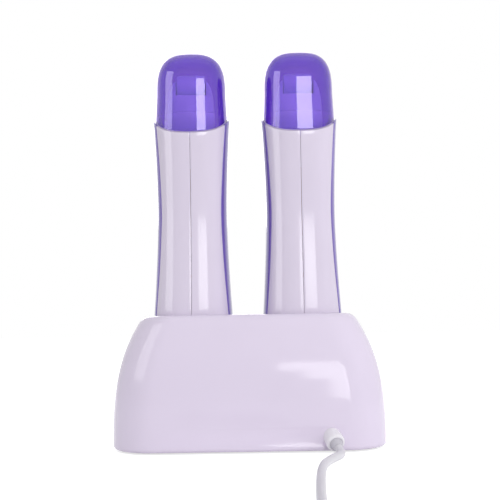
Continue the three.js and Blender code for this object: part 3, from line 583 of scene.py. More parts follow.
GRIP_SHOULDER = 12 * MM
GRIP_HALF_WIDTH = 17 * MM
GRIP_ROUND = 3.2 * MM
GRIP_ROOT_SHARES = (1, 0.42, 0.78)
GRIP_FACE_SHARES = (1, 0.88, 0.92)


def base_size(z):
    """Half width, half depth and corner radius of the bell at a height."""
    share = (max(0.0, z) / BASE_TOP) ** BASE_DRAW_IN_EXPONENT
    return (BASE_HALF_WIDTH - BASE_DRAW_IN[0] * share, BASE_HALF_DEPTH - BASE_DRAW_IN[1] * share,
            BASE_CORNER - BASE_CORNER_DRAW_IN * share)


GLAND_ROOT = Vector((GLAND_X, base_size(GLAND_Z)[1], GLAND_Z))
GLAND_WAY = Vector((
    -math.sin(GLAND_TURN) * math.cos(GLAND_DROOP),
    math.cos(GLAND_TURN) * math.cos(GLAND_DROOP),
    -math.sin(GLAND_DROOP)))


def coil_point(turn):
    climb = min(1.0, max(0.0, (turn - COIL_TURNS) / COIL_CLIMB))
    back = COIL_TURNS + COIL_CLIMB / 2
    radius = COIL_RADIUS - COIL_PITCH * (min(turn, back) - max(0.0, turn - back))
    angle = math.pi - 2 * math.pi * turn
    return COIL_START + Vector((
        COIL_RADIUS + radius * math.cos(angle), radius * math.sin(angle), COIL_PITCH * climb))


def lead_points():
    points = [GLAND_ROOT + GLAND_WAY * (RELIEF_OUT + along * MM) for along in ROUTE_START]
    points += [Vector(place) * MM for place in ROUTE]
    total = COIL_TURNS + COIL_TOP_TURNS
    steps = round(total * COIL_POINTS)
    points += [COIL_START - Vector((0, 2 * LEAD_RADIUS, 0)), COIL_START - Vector((0, LEAD_RADIUS, 0))]
    points += [coil_point(total * step / steps) for step in range(steps + 1)]
    last = points[-1].copy()
    for step in range(1, TAIL_STEPS + 1):
        share = step / TAIL_STEPS
        late = max(0.0, 2 * share - 1)
        ease = late * late * (3 - 2 * late)
        points.append(last + Vector((TAIL * share, 0, -(last.z - PLUG_Z) * ease)))
    points.append(points[-1] + Vector((2 * LEAD_RADIUS, 0, 0)))
    return points


def make_lead(finishes, travelling):
    points = lead_points()
    curve = bpy.data.curves.new("lead", "CURVE")
    curve.dimensions = "3D"
    curve.bevel_depth = LEAD_RADIUS
    curve.bevel_resolution = LEAD_ROUNDNESS
    curve.resolution_u = LEAD_STEPS
    curve.use_fill_caps = True
    spline = curve.splines.new("BEZIER")
    spline.bezier_points.add(len(points) - 1)
    for knot, place in zip(spline.bezier_points, points):
        knot.co = place
        knot.handle_left_type = knot.handle_right_type = "AUTO"
    lead = bpy.data.objects.new("lead", curve)
    bpy.context.collection.objects.link(lead)
    curve.materials.append(finishes["lead"])
    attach(lead, "base")
    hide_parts("power_cord", "cord_coil")
    length = sum((b - a).length for a, b in zip(points, points[1:]))
    tuple(points[0])


def make_plug(finishes):
    low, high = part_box("plug_body")
    end = lead_points()[-1]
    neck = turned("plug", PLUG_NECK, (end.x + GAP, end.y, end.z), (1, 0, 0), 32)
    start = low.x + GRIP_START
    grip = block("plug_grip", (start, end.y - GRIP_HALF_WIDTH, low.z),
                 (high.x, end.y + GRIP_HALF_WIDTH, high.z))
    edit_all(grip)
    bpy.ops.mesh.bisect(plane_co=(start + GRIP_SHOULDER, 0, 0), plane_no=(1, 0, 0))
    pick(grip, lambda v: v.co.x < start + MM)
    grow(*GRIP_ROOT_SHARES, (start, end.y, end.z))
    pick(grip, lambda v: v.co.x > high.x - MM)
    grow(*GRIP_FACE_SHARES, (high.x, end.y, end.z))
    done()
    bevel(grip, GRIP_ROUND, 5, 40)
    plug = join(neck, grip)
    plug.name = "plug"
    smooth(plug, 40)
    return dress(plug, finishes["plug"], "base", "lead", "plug_body")


# Base housing: a bell of rounded rectangles, drawn upwards and walled inside

FOOT_ROUND = 3.2 * MM
FOOT_ROUND_STEPS = 5
BELL_STEPS = 34
TOP_ROUND = 4.5 * MM
TOP_ROUND_STEPS = 8
TOP_FLAT = 1.5 * MM
CORNER_SEGMENTS = 14
WELL_ROOM = 2.9 * MM
WELL_CUT_REACH = 9 * MM
SWITCH_RIM = 1.5 * MM
GLAND_OPENING_RADIUS = 7.25 * MM
GLAND_CUT_REACH = 20 * MM
BASE_EDGE = 0.35 * MM
POST_RADIUS = 4 * MM
POST_BOTTOM = 4.8 * MM
MIDDLE_POST_Y = 30 * MM
MIDDLE_POST_TOP = BASE_TOP - 1.2 * MM
END_POST_X = 94 * MM
END_POST_TOP = 78 * MM


def bell_levels():
    """Heights of the rings and how far each is drawn in from the bell, from the foot's edge up to the top."""
    low = BASE_LOW.z
    straight = BASE_TOP - TOP_ROUND
    levels = []
    for step in range(FOOT_ROUND_STEPS + 1):
        angle = math.pi / 2 * step / FOOT_ROUND_STEPS
        levels.append((low + FOOT_ROUND * (1 - math.cos(angle)), FOOT_ROUND * (1 - math.sin(angle))))
    for step in range(1, BELL_STEPS + 1):
        levels.append((low + FOOT_ROUND + (straight - low - FOOT_ROUND) * step / BELL_STEPS, 0.0))
    for step in range(1, TOP_ROUND_STEPS + 1):
        angle = math.pi / 2 * step / TOP_ROUND_STEPS
        levels.append((straight + TOP_ROUND * math.sin(angle), TOP_ROUND * (1 - math.cos(angle))))
    return levels + [(BASE_TOP, TOP_ROUND + TOP_FLAT)]


def fit_corners(base, ring, height, old_size, new_size):
    """Scales each rounded corner of the ring by itself and moves it to its new place."""
    (width, depth, corner), (new_width, new_depth, new_corner) = old_size, new_size
    mesh = bmesh.from_edit_mesh(base.data)
    mesh.verts.ensure_lookup_table()
    quarters = {}
    for index in ring:
        place = mesh.verts[index].co
        quarters.setdefault((place.x > 0, place.y > 0), []).append(index)
    for (right, back), members in quarters.items():
        side, face = (1 if right else -1), (1 if back else -1)
        old = (side * (width - corner), face * (depth - corner), height)
        new = (side * (new_width - new_corner), face * (new_depth - new_corner), height)
        choose(base, members)
        grow(new_corner / corner, new_corner / corner, 1, old)
        bpy.ops.transform.translate(value=[b - a for a, b in zip(old, new)])
    choose(base, ring)


def draw_base():
    (height, inset), *levels = bell_levels()
    size = [part - inset for part in base_size(height)]
    bpy.ops.mesh.primitive_plane_add(size=1, location=(0, 0, height))
    base = finish_placing("base_shell")
    edit_all(base)
    grow(2 * size[0], 2 * size[1], 1, (0, 0, height))
    bpy.ops.mesh.bevel(offset=size[2], offset_type="OFFSET", segments=CORNER_SEGMENTS, affect="VERTICES")
    bpy.ops.mesh.select_mode(type="FACE")
    bpy.ops.mesh.select_all(action="SELECT")
    bpy.ops.mesh.delete(type="ONLY_FACE")
    bpy.ops.mesh.select_mode(type="VERT")
    bpy.ops.mesh.select_all(action="SELECT")
    for new_height, inset in levels:
        bpy.ops.mesh.extrude_edges_move(TRANSFORM_OT_translate={"value": (0, 0, new_height - height)})
        new_size = [part - inset for part in base_size(new_height)]
        fit_corners(base, chosen(base), new_height, size, new_size)
        height, size = new_height, new_size
    bpy.ops.mesh.edge_face_add()
    done()
    outward(base)
    return base


def well_law(out):
    return lambda z: body_size(min(z, BASE_TOP), out)


def gland_rod(name, radius):
    """A cutter along the way of the lead through the wall of the base."""
    reach = GLAND_WAY * GLAND_CUT_REACH
    return rod(name, radius, GLAND_ROOT - reach, GLAND_ROOT + reach, 48)


def make_base(finishes):
    base = draw_base()
    solidify(base, WALL)
    for side, sign in WARMERS:
        rings = [(BASE_TOP + reach, well_law(WELL_ROOM), 0) for reach in (-WELL_CUT_REACH, WELL_CUT_REACH)]
        opening = draw_rings("well_opening", rings, BODY_EXPONENT, 96)
        shift(opening, (sign * PITCH_HALF, 0, 0))
        cut(base, opening)
        low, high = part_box(side + "_switch_body")
        inset = SWITCH_RIM - GAP
        cut(base, block("switch_opening", (low.x + inset, low.y - OVERRUN, low.z + inset),
                        (high.x - inset, high.y, high.z - inset)))
    cut(base, gland_rod("gland_opening", GLAND_OPENING_RADIUS))
    bevel(base, BASE_EDGE, 2, 50)
    posts = [(0, MIDDLE_POST_Y, MIDDLE_POST_TOP), (0, -MIDDLE_POST_Y, MIDDLE_POST_TOP),
             (END_POST_X, 0, END_POST_TOP), (-END_POST_X, 0, END_POST_TOP)]
    join(base, *[rod("post", POST_RADIUS, (x, y, POST_BOTTOM), (x, y, top), 24) for x, y, top in posts])
    smooth(base, 32)
    return dress(base, finishes["base"], "base", "shell", "base_housing")


# Wells: cups that the warmers stand in, each with a collar under the top of the base

WELL_INSIDE = 1 * MM
WELL_OUTSIDE = 2.6 * MM
WELL_COLLAR = 4.6 * MM
WELL_COLLAR_HEIGHT = 2 * MM
WELL_FLOOR = 2 * MM
WELL_LIP = 0.3 * MM
WELL_STEPS = 4
WELL_EDGE = 0.2 * MM
# Height over the bottom, and distance in from the outside
WELL_FOOT = in_mm((0, 1.2), (0.3, 0.4), (1.2, 0))
PIN_HOLE_RADIUS = 1.8 * MM
PIN_HOLE_X = 7 * MM
PIN_HOLE_Z = (50 * MM, 70 * MM)


def even_steps(low, high, count):
    return [low + (high - low) * step / count for step in range(1, count + 1)]


def well_outline():
    """Heights, and how far the cup stands off the warmer there, from its foot over the lip to its floor."""
    floor = BODY_BOTTOM - GAP
    bottom = floor - WELL_FLOOR
    top = BASE_TOP - GAP
    lip = top - WELL_LIP
    collar = BASE_TOP - WALL - GAP
    under_collar = collar - WELL_COLLAR_HEIGHT
    outline = [(bottom + rise, WELL_OUTSIDE - inset) for rise, inset in WELL_FOOT]
    outline += [(z, WELL_OUTSIDE) for z in even_steps(outline[-1][0], under_collar, WELL_STEPS)]
    outline += [(under_collar, WELL_COLLAR), (collar, WELL_COLLAR), (collar, WELL_OUTSIDE),
                (lip, WELL_OUTSIDE), (top, WELL_OUTSIDE - WELL_LIP), (top, WELL_INSIDE + WELL_LIP),
                (lip, WELL_INSIDE)]
    outline += [(z, WELL_INSIDE) for z in even_steps(lip, floor + WELL_INSIDE, WELL_STEPS)]
    return outline + [(floor + WELL_LIP, WELL_INSIDE - WELL_LIP), (floor, 0)]


def make_wells(finishes):
    well = draw_rings("well", [(z, well_law(out), 0) for z, out in well_outline()], BODY_EXPONENT, 64)
    for x in (-PIN_HOLE_X, PIN_HOLE_X):
        cut(well, rod("pin_hole", PIN_HOLE_RADIUS, *[(x, 0, z) for z in PIN_HOLE_Z], 24))
    bevel(well, WELL_EDGE, 2, 60)
    smooth(well, 35)
    for side, sign in WARMERS:
        copy = copy_of(well, side + "_well_liner", (sign * PITCH_HALF, 0, 0))
        dress(copy, finishes["well"], "base", "shell", side + "_well")
    bpy.data.objects.remove(well)


# Warmer: two half shells, side panels, window and lamp, made once round the middle and copied out

CASING_ROUND = 1.5 * MM
CASING_ROUND_MIDDLE = 0.44 * MM
CASING_FLOOR_ROUND = 1 * MM
CASING_SUNK_STEPS = 4
CASING_STEPS = 34
CASING_INNER_STEPS = 14
BAND_STEPS = 36
# How far a band is drawn past the heights that it is cut to
BEYOND = 6 * MM
PANEL_PROUD = 0.3 * MM
PANEL_BACK = 1.2 * MM
RECESS_FRONT = 2 * MM
RECESS_BACK = 1.5 * MM
SOCKET_HALF = (12.3 * MM, 7.3 * MM)
# How far a cutter reaches through the front wall, from outside to inside
FRONT_CUT = (-40 * MM, -16 * MM)
WINDOW_Z = (168 * MM, 232 * MM)
WINDOW_HALF = 8 * MM
WINDOW_ROUND = 2.4 * MM
PANE_THICKNESS = 1.4 * MM
PANE_BAND_BEYOND = 4 * MM
PANE_TRIM_BEYOND = 2 * MM
PANE_EDGE = 0.15 * MM
LAMP_Z = 140 * MM
LAMP_RADIUS = 2.5 * MM
# Radius, and height over the front of the casing
LENS_OUTLINE = in_mm((1.2, 0.62), (1.9, 0.52), (2.35, 0.3), (2.5, 0), (2.5, -3), (3.7, -3.1), (3.7, -4.1))
# What each form of the warmer becomes: word in the name, finish, slot and rounding of the edges
HALVES = {
    "casing": ("_shell_", "shell", "shell", 0.22 * MM),
    "side_panel": ("_panel_", "panel", "side_panel", 0.3 * MM),
}


def body_law(out):
    return lambda z: body_size(z, out)


def rim_share(z):
    return min(1.0, max(0.0, (z - RIM_START) / (HORN_TOP - RIM_START)))


def steps_between(low, high, count, law, sagging=True):
    return [(z, law, rim_share(z) if sagging else 0) for z in [low, *even_steps(low, high, count)]]


def draw_casing():
    outer, inner = body_law(0), body_law(-WALL)
    bottom = BODY_BOTTOM
    rings = [(bottom, body_law(-CASING_ROUND), 0),
             (bottom + CASING_ROUND_MIDDLE, body_law(-CASING_ROUND_MIDDLE), 0)]
    rings += steps_between(bottom + CASING_ROUND, BASE_TOP, CASING_SUNK_STEPS, outer)
    rings += steps_between(BASE_TOP, HORN_TOP, CASING_STEPS, outer)[1:]
    rings += reversed(steps_between(bottom + WALL + CASING_FLOOR_ROUND, HORN_TOP, CASING_INNER_STEPS, inner))
    rings += [(bottom + WALL, body_law(-WALL - CASING_FLOOR_ROUND), 0)]
    return draw_rings("casing", rings, BODY_EXPONENT, 96)


def draw_band(name, far, near, bottom, top, sagging):
    """A closed ring-shaped wall between two offsets of the body's surface."""
    rings = steps_between(bottom, top, BAND_STEPS, body_law(far), sagging)
    rings += reversed(steps_between(bottom, top, BAND_STEPS, body_law(near), sagging))
    band = draw_rings(name, rings, BODY_EXPONENT, 96, False, False)
    edit(band)
    pick(band, lambda e: e.is_boundary, "EDGE")
    bpy.ops.mesh.bridge_edge_loops()
    done()
    outward(band)
    return band


def keep_between(piece, axis, low, high):
    normal = [0, 0, 0]
    normal[axis] = 1
    for value, drop in ((low, "below"), (high, "above")):
        if value is not None:
            place = [0, 0, 0]
            place[axis] = value
            cut_plane(piece, place, normal, drop, True)
    outward(piece)


def stadium(name, half_width, low, high, y_from, y_to, radius):
    """A block from front to back with its four long edges rounded."""
    prism = block(name, (-half_width, y_from, low), (half_width, y_to, high))
    edit(prism)
    pick(prism, lambda e: abs(e.verts[0].co.y - e.verts[1].co.y) > SAME_PLACE, "EDGE")
    bpy.ops.mesh.bevel(offset=radius, segments=6)
    done()
    return prism


def make_casing():
    casing = draw_casing()
    recess = draw_band("recess", RECESS_FRONT, -RECESS_BACK, PANEL_BOTTOM - BEYOND, HORN_TOP + BEYOND, False)
    keep_between(recess, 1, -PANEL_HALF_DEPTH, PANEL_HALF_DEPTH)
    keep_between(recess, 2, PANEL_BOTTOM, None)
    cut(casing, recess)
    socket_x, socket_y = SOCKET_HALF
    cut(casing, block("socket_opening", (-socket_x, -socket_y, BODY_BOTTOM - OVERRUN),
                      (socket_x, socket_y, BODY_BOTTOM + OVERRUN)))
    cut(casing, stadium("window_opening", WINDOW_HALF, *WINDOW_Z, *FRONT_CUT, WINDOW_ROUND))
    cut(casing, rod("lamp_opening", LAMP_RADIUS + GAP, *[(0, y, LAMP_Z) for y in FRONT_CUT], 32))
    return casing


def make_side_panels():
    panels = draw_band("panels", PANEL_PROUD, -PANEL_BACK, PANEL_BOTTOM - BEYOND, HORN_TOP, True)
    keep_between(panels, 1, -PANEL_HALF_DEPTH + GAP, PANEL_HALF_DEPTH - GAP)
    keep_between(panels, 2, PANEL_BOTTOM + GAP, None)
    return panels


def make_pane():
    low, high = WINDOW_Z
    pane = draw_band("pane", 0, -PANE_THICKNESS, low - PANE_BAND_BEYOND, high + PANE_BAND_BEYOND, False)
    keep_between(pane, 2, low - PANE_TRIM_BEYOND, high + PANE_TRIM_BEYOND)
    outline = stadium("pane_outline", WINDOW_HALF - GAP, low + GAP, high - GAP, FRONT_CUT[0], 0,
                      WINDOW_ROUND - GAP)
    combine(pane, outline, "INTERSECT")
    bevel(pane, PANE_EDGE, 2)
    smooth(pane)
    return pane


def make_lens():
    lens = turned("lens", LENS_OUTLINE, (0, -body_size(LAMP_Z)[1], LAMP_Z), (0, -1, 0), 32)
    smooth(lens, 50)
    return lens


def half_of(piece, name, direction, edge):
    """One half of a form round the middle, with half a gap at the seam."""
    half = copy_of(piece, name)
    seam = direction * GAP / 2
    keep_between(half, 0, *((seam, None) if direction > 0 else (None, seam)))
    bevel(half, edge, 2, 40)
    smooth(half, 32)
    return half


def make_warmers(finishes):
    forms = {"casing": make_casing(), "side_panel": make_side_panels()}
    pane, lens = make_pane(), make_lens()
    halves = {(key, direction): half_of(piece, key + "_half", direction, HALVES[key][-1])
              for key, piece in forms.items() for direction in (-1, 1)}
    for side, sign in WARMERS:
        body = side + "_warmer"
        move = (sign * PITCH_HALF, 0, 0)
        for (key, direction), half in halves.items():
            place = "outboard" if direction == sign else "inboard"
            word, finish, slot, _ = HALVES[key]
            dress(copy_of(half, side + word + place, move), finishes[finish], body, slot,
                  side + "_" + key + "_" + place)
        dress(copy_of(pane, side + "_pane", move), finishes["window"], body, "window", side + "_window")
        dress(copy_of(lens, side + "_lens", move), finishes["lamp"], body, "lamp", side + "_lamp")
    for spare in [*forms.values(), pane, lens, *halves.values()]:
        bpy.data.objects.remove(spare)


# Cap: clear dome with a thin tongue inside the rim

CAP_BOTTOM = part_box("left_cap")[0].z
CAP_SHOULDER = 290 * MM
CAP_HALF = (29.1 * MM, 27.2 * MM)
CAP_SPREAD = 1.3 * MM
CAP_DOME = 35.8 * MM
CAP_EXPONENT = 3.1
CAP_WALL = 2.6 * MM
CAP_EDGE = 0.35 * MM
CAP_STEPS = 8
# The rim's dip fades out over this many of the steps
CAP_DIP_STEPS = 5
DOME_STEPS = 20
DOME_LAST_SHARES = (0.9994, 0.99995)
INNER_LEVELS = [CAP_SHOULDER - drop * MM for drop in (0, 5, 10, 14, 18)]
TONGUE_THICKNESS = 1 * MM
TONGUE_LEVELS = (HORN_TOP + 1 * MM, RIM_Z, 256 * MM, CAP_BOTTOM)
TONGUE_OUTER_LEVELS = (CAP_BOTTOM, CAP_BOTTOM + 3 * MM)


def cap_law(inset, share=1.0):
    def law(z):
        spread = CAP_SPREAD * max(0.0, CAP_SHOULDER - z) / (CAP_SHOULDER - RIM_Z)
        return tuple((half + spread - inset) * share for half in CAP_HALF)
    return law


def dome_rings(inset):
    """The dome's rings from the shoulder up, closer together towards its top."""
    rise = CAP_DOME - inset
    shares = [math.sin(math.pi / 2 * step / DOME_STEPS) for step in range(1, DOME_STEPS)]
    return [(CAP_SHOULDER + rise * share,
             cap_law(inset, (1 - share ** CAP_EXPONENT) ** (1 / CAP_EXPONENT)), 0)
            for share in [*shares, *DOME_LAST_SHARES]]


def make_caps(finishes):
    fit = WALL + GAP
    inner_tongue, outer_tongue = body_law(-fit - TONGUE_THICKNESS), body_law(-fit)
    seat = HORN_TOP + GAP
    rings = list(reversed(dome_rings(CAP_WALL)))
    rings += [(z, cap_law(CAP_WALL), 0) for z in INNER_LEVELS]
    rings += [(z, inner_tongue, 0) for z in TONGUE_LEVELS]
    rings += [(z, outer_tongue, 0) for z in TONGUE_OUTER_LEVELS]
    rings += [(seat, outer_tongue, 1), (seat, cap_law(CAP_EDGE), 1), (seat + CAP_EDGE, cap_law(0), 1)]
    rings += [(z, cap_law(0), max(0.0, 1 - step / CAP_DIP_STEPS))
              for step, z in enumerate(even_steps(seat + CAP_EDGE, CAP_SHOULDER, CAP_STEPS), 1)]
    rings += dome_rings(0)
    cap = draw_rings("cap", rings, BODY_EXPONENT, 96)
    smooth(cap, 40)
    for side, sign in WARMERS:
        made = copy_of(cap, side + "_cover_dome", (sign * PITCH_HALF, 0, 0))
        made.visible_shadow = False
        dress(made, finishes["cap"], side + "_cover", "cap", side + "_cap")
    bpy.data.objects.remove(cap)


# Wax cartridge, its roller head and roller

CARTRIDGE_HALF = (24 * MM, 15.5 * MM)
CARTRIDGE_ROUND = 1.6 * MM
# How far in from the sides the last ring of the top lies
CARTRIDGE_TOP_RING = 4.8 * MM
# The point between the ends of a rounding, as a share of its radius
ROUND_SHARE = 0.3
CARTRIDGE_EXPONENT = 3.4
COLLAR_HALF = (22 * MM, 14 * MM)
COLLAR_HEIGHT = 7 * MM
# Depth under the collar's top, and distance in from its side
COLLAR_OUTLINE = in_mm((1, 0), (0.3, 0.3), (0, 1), (0, 3))
ARCH_HALF = (19.5 * MM, 10.5 * MM)
ARCH_EXPONENT = 3.6
ARCH_SUNK = 0.4 * MM
ARCH_ROUND = 1.1 * MM
ROLLER_ROOM_HALF = (12.8 * MM, 20 * MM)
ROLLER_ROOM_UNDER = 9.8 * MM
ROLLER_ROOM_OVER = 40 * MM
AXLE_HOLE_RADIUS = 1.8 * MM
AXLE_HOLE_X = (11 * MM, 15 * MM)
# Radius, and place along the axle, from one end of the roller towards its middle
ROLLER_OUTLINE = in_mm((1.5, -14.5), (1.5, -12.5), (7.5, -12.5), (8.9, -11.9), (9.5, -10.5))
ROLLER_MIDDLE_RADIUS = 9.65 * MM


def flat_rings(half, outline):
    """Rings at each (height, distance in from the half sizes) of the outline."""
    def law(inset):
        return lambda z: (half[0] - inset, half[1] - inset)
    return [(z, law(inset), 0) for z, inset in outline]


def make_cartridge():
    low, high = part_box("left_cartridge")
    edge, part = CARTRIDGE_ROUND, ROUND_SHARE * CARTRIDGE_ROUND
    outline = [(low.z, edge), (low.z + part, part), (low.z + edge, 0), (high.z - edge, 0),
               (high.z - part, part), (high.z, edge), (high.z, CARTRIDGE_TOP_RING)]
    cartridge = draw_rings("cartridge", flat_rings(CARTRIDGE_HALF, outline), CARTRIDGE_EXPONENT, 72)
    smooth(cartridge, 50)
    return cartridge


def make_roller_head(axle_z):
    low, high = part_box("left_roller_head")
    top = low.z + COLLAR_HEIGHT
    outline = [(low.z, 0)] + [(top - depth, inset) for depth, inset in COLLAR_OUTLINE]
    head = draw_rings("collar", flat_rings(COLLAR_HALF, outline), CARTRIDGE_EXPONENT, 72)
    half_width, half_depth = ARCH_HALF
    arch = draw_rings("arch", flat_rings((half_width, high.z - top), [(-half_depth, 0), (half_depth, 0)]),
                      ARCH_EXPONENT, 96)
    only(arch)
    arch.rotation_euler = (math.radians(90), 0, 0)
    arch.location = (0, 0, top)
    bpy.ops.object.transform_apply(location=True, rotation=True, scale=True)
    keep_between(arch, 2, top - ARCH_SUNK, None)
    room_x, room_y = ROLLER_ROOM_HALF
    cut(arch, block("roller_room", (-room_x, -room_y, axle_z - ROLLER_ROOM_UNDER),
                    (room_x, room_y, axle_z + ROLLER_ROOM_OVER)))
    for side in (-1, 1):
        cut(arch, rod("axle_hole", AXLE_HOLE_RADIUS, *[(side * x, 0, axle_z) for x in AXLE_HOLE_X], 24))
    bevel(arch, ARCH_ROUND, 3, 45)
    join(head, arch)
    smooth(head, 40)
    return head


def make_roller(axle_z):
    profile = [*ROLLER_OUTLINE, (ROLLER_MIDDLE_RADIUS, 0)]
    profile += [(radius, -along) for radius, along in reversed(ROLLER_OUTLINE)]
    roller = turned("roller", profile, (0, 0, axle_z), (1, 0, 0), 64)
    smooth(roller, 40)
    return roller


def make_cartridges(finishes):
    axle_z = middle("left_roller").z
    cartridge, head, roller = make_cartridge(), make_roller_head(axle_z), make_roller(axle_z)
    for side, sign in WARMERS:
        move = (sign * PITCH_HALF, 0, 0)
        body = side + "_wax"
        dress(copy_of(cartridge, side + "_wax_cartridge", move), finishes["wax"], body, "wax",
              side + "_cartridge")
        dress(copy_of(head, side + "_roller_frame", move), finishes["head"], body, "shell",
              side + "_roller_head")
        dress(copy_of(roller, side + "_wax_roller", move), finishes["roller"], side + "_wax_roller", "shell",
              side + "_roller")
    for spare in (cartridge, head, roller):
        bpy.data.objects.remove(spare)


# Rocker switches on the front

CASE_SET_BACK = 0.4 * MM
CASE_EDGE = 0.25 * MM
BEZEL_DEPTH = 2.1 * MM
BEZEL_ROUND = 1.1 * MM
ROCKER_ROOM_WALL = 1.5 * MM
ROCKER_ROOM_HALF_HEIGHT = 7.9 * MM
ROCKER_ROOM_DEPTH = 6.9 * MM
ROCKER_ROOM_ROUND = 0.8 * MM
PIVOT_DEPTH = 1.5 * MM
PADDLE_HALF_WIDTH = 4.6 * MM
PADDLE_HALF_HEIGHT = 7 * MM
PADDLE_FRONT = 3 * MM
PADDLE_BACK = 4.5 * MM
PADDLE_BACK_SHARE = 0.55
PADDLE_HOLLOW = 1.0 * MM
PADDLE_CUTS = [step * 1.16 * MM for step in range(-5, 6)]
PADDLE_EDGE = 0.5 * MM
PADDLE_REST = math.radians(-8)
PADDLE_AXLE_RADIUS = 1.2 * MM
PADDLE_AXLE_HALF = 6.4 * MM
MICRONS_IN_A_METRE = 1e6


def make_switch_case(name, low, high):
    """A box behind the wall with a rounded bezel in front and room for the rocker."""
    x, centre = (low.x + high.x) / 2, (low.z + high.z) / 2
    case = block(name, (low.x + SWITCH_RIM, low.y + CASE_SET_BACK, low.z + SWITCH_RIM),
                 (high.x - SWITCH_RIM, high.y, high.z - SWITCH_RIM))
    bezel = block("bezel", (low.x, low.y, low.z), (high.x, low.y + BEZEL_DEPTH, high.z))
    bevel(bezel, BEZEL_ROUND, 4, 40)
    combine(case, bezel, "UNION")
    room = stadium("rocker_room", high.x - SWITCH_RIM - ROCKER_ROOM_WALL - x,
                   centre - ROCKER_ROOM_HALF_HEIGHT, centre + ROCKER_ROOM_HALF_HEIGHT,
                   low.y - OVERRUN, low.y + ROCKER_ROOM_DEPTH, ROCKER_ROOM_ROUND)
    shift(room, (x, 0, 0))
    cut(case, room)
    bevel(case, CASE_EDGE, 2, 60)
    smooth(case, 40)
    return case


def make_paddle(name, pivot):
    """A rocker with a hollow face and a smaller back, tilted as it stands at rest."""
    x, y, centre = pivot
    front, back = y - PADDLE_FRONT, y + PADDLE_BACK
    paddle = block(name, (x - PADDLE_HALF_WIDTH, front, centre - PADDLE_HALF_HEIGHT),
                   (x + PADDLE_HALF_WIDTH, back, centre + PADDLE_HALF_HEIGHT))
    edit(paddle)
    for height in PADDLE_CUTS:
        bpy.ops.mesh.select_all(action="SELECT")
        bpy.ops.mesh.bisect(plane_co=(0, 0, centre + height), plane_no=(0, 0, 1))
    corners = bmesh.from_edit_mesh(paddle.data).verts
    for level in sorted({round(v.co.z * MICRONS_IN_A_METRE) for v in corners}):
        z = level / MICRONS_IN_A_METRE
        pick(paddle, lambda v: abs(v.co.y - front) < SAME_PLACE and abs(v.co.z - z) < 2 * SAME_PLACE)
        away = abs(z - centre) / PADDLE_HALF_HEIGHT
        bpy.ops.transform.translate(value=(0, PADDLE_HOLLOW * (1 - away ** 2), 0))
    pick(paddle, lambda v: abs(v.co.y - back) < SAME_PLACE)
    grow(1, 1, PADDLE_BACK_SHARE, (x, y, centre))
    done()
    bevel(paddle, PADDLE_EDGE, 3, 40)
    join(paddle, rod("axle", PADDLE_AXLE_RADIUS, (x - PADDLE_AXLE_HALF, y, centre),
                     (x + PADDLE_AXLE_HALF, y, centre), 24))
    edit_all(paddle)
    bpy.ops.transform.rotate(value=PADDLE_REST, orient_axis="X", center_override=pivot)
    done()
    smooth(paddle, 40)
    return paddle


def make_switches(finishes):
    for side, sign in WARMERS:
        low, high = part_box(side + "_switch_body")
        case = make_switch_case(side + "_switch_case", low, high)
        dress(case, finishes["inner"], "base", "inner_plastic", side + "_switch_body")
        pivot = Vector((sign * PITCH_HALF, low.y + PIVOT_DEPTH, (low.z + high.z) / 2))
        paddle = make_paddle(side + "_paddle", pivot)
        dress(paddle, finishes["rocker"], side + "_switch", "rocker", side + "_rocker")


# Lead entry and feet

# Radius, and distance out of the wall of the base
GLAND_OUTLINE = in_mm((5.5, -6), (7.3, -6), (7.3, 5.5), (7.1, 6.9), (6.6, 7.9), (6.0, 8.4))
GLAND_FACE = [(5.5 * MM, GLAND_OUT)]
GLAND_BORE_RADIUS = 5.04 * MM
GLAND_EDGE = 0.3 * MM
RELIEF_ROOT = in_mm((3.6, -9), (5, -9), (5, 8))
RELIEF_END = [(3.5 * MM, RELIEF_OUT - 0.2 * MM), (3.2 * MM, RELIEF_OUT)]
RELIEF_RADIUS = 5 * MM
RELIEF_TAPER = 1.1 * MM
RIB_COUNT = 3
RIB_HEIGHT = 0.35 * MM
RIB_RISE = 0.25 * MM
# Where a rib's flat top and its far foot end, as shares of the pitch
RIB_TOP_SHARE = 0.55
RIB_FOOT_SHARE = 0.7
# Radius and height of a foot, then its stem, which ends at the top of the CAD foot
FOOT_OUTLINE = in_mm((5.6, 0), (6.6, 0.15), (7, 0.6), (7, 1.7), (2.5, 1.7))
STEM_RADIUS = 2.5 * MM
STEM_ROUND = 0.3 * MM


def make_gland(finishes):
    gland = turned("gland_boss", GLAND_OUTLINE + GLAND_FACE, GLAND_ROOT, GLAND_WAY, 64)
    cut(gland, gland_rod("gland_bore", GLAND_BORE_RADIUS))
    bevel(gland, GLAND_EDGE, 2, 50)
    smooth(gland, 35)
    dress(gland, finishes["gland"], "base", "shell", "cord_gland")


def make_relief(finishes):
    profile = list(RELIEF_ROOT)
    pitch = (RELIEF_OUT - GLAND_OUT) / RIB_COUNT
    for rib in range(RIB_COUNT):
        start = GLAND_OUT + rib * pitch
        radius = RELIEF_RADIUS - RELIEF_TAPER * (rib + 1) / RIB_COUNT
        profile += [(radius - RIB_HEIGHT, start), (radius, start + RIB_RISE),
                    (radius, start + RIB_TOP_SHARE * pitch),
                    (radius - RIB_HEIGHT, start + RIB_FOOT_SHARE * pitch)]
    relief = turned("lead_sleeve", profile + RELIEF_END, GLAND_ROOT, GLAND_WAY, 48)
    smooth(relief, 30)
    dress(relief, finishes["relief"], "base", "strain_relief", "strain_relief")


def make_feet(finishes):
    for name in sorted(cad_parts):
        if name.startswith("foot_"):
            place, top = middle(name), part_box(name)[1].z
            stem = [(STEM_RADIUS, top - STEM_ROUND), (STEM_RADIUS - STEM_ROUND, top)]
            foot = turned("rubber_" + name, FOOT_OUTLINE + stem, (place.x, place.y, 0), (0, 0, 1), 40)
            smooth(foot, 40)
            dress(foot, finishes["rubber"], "base", "foot", name)


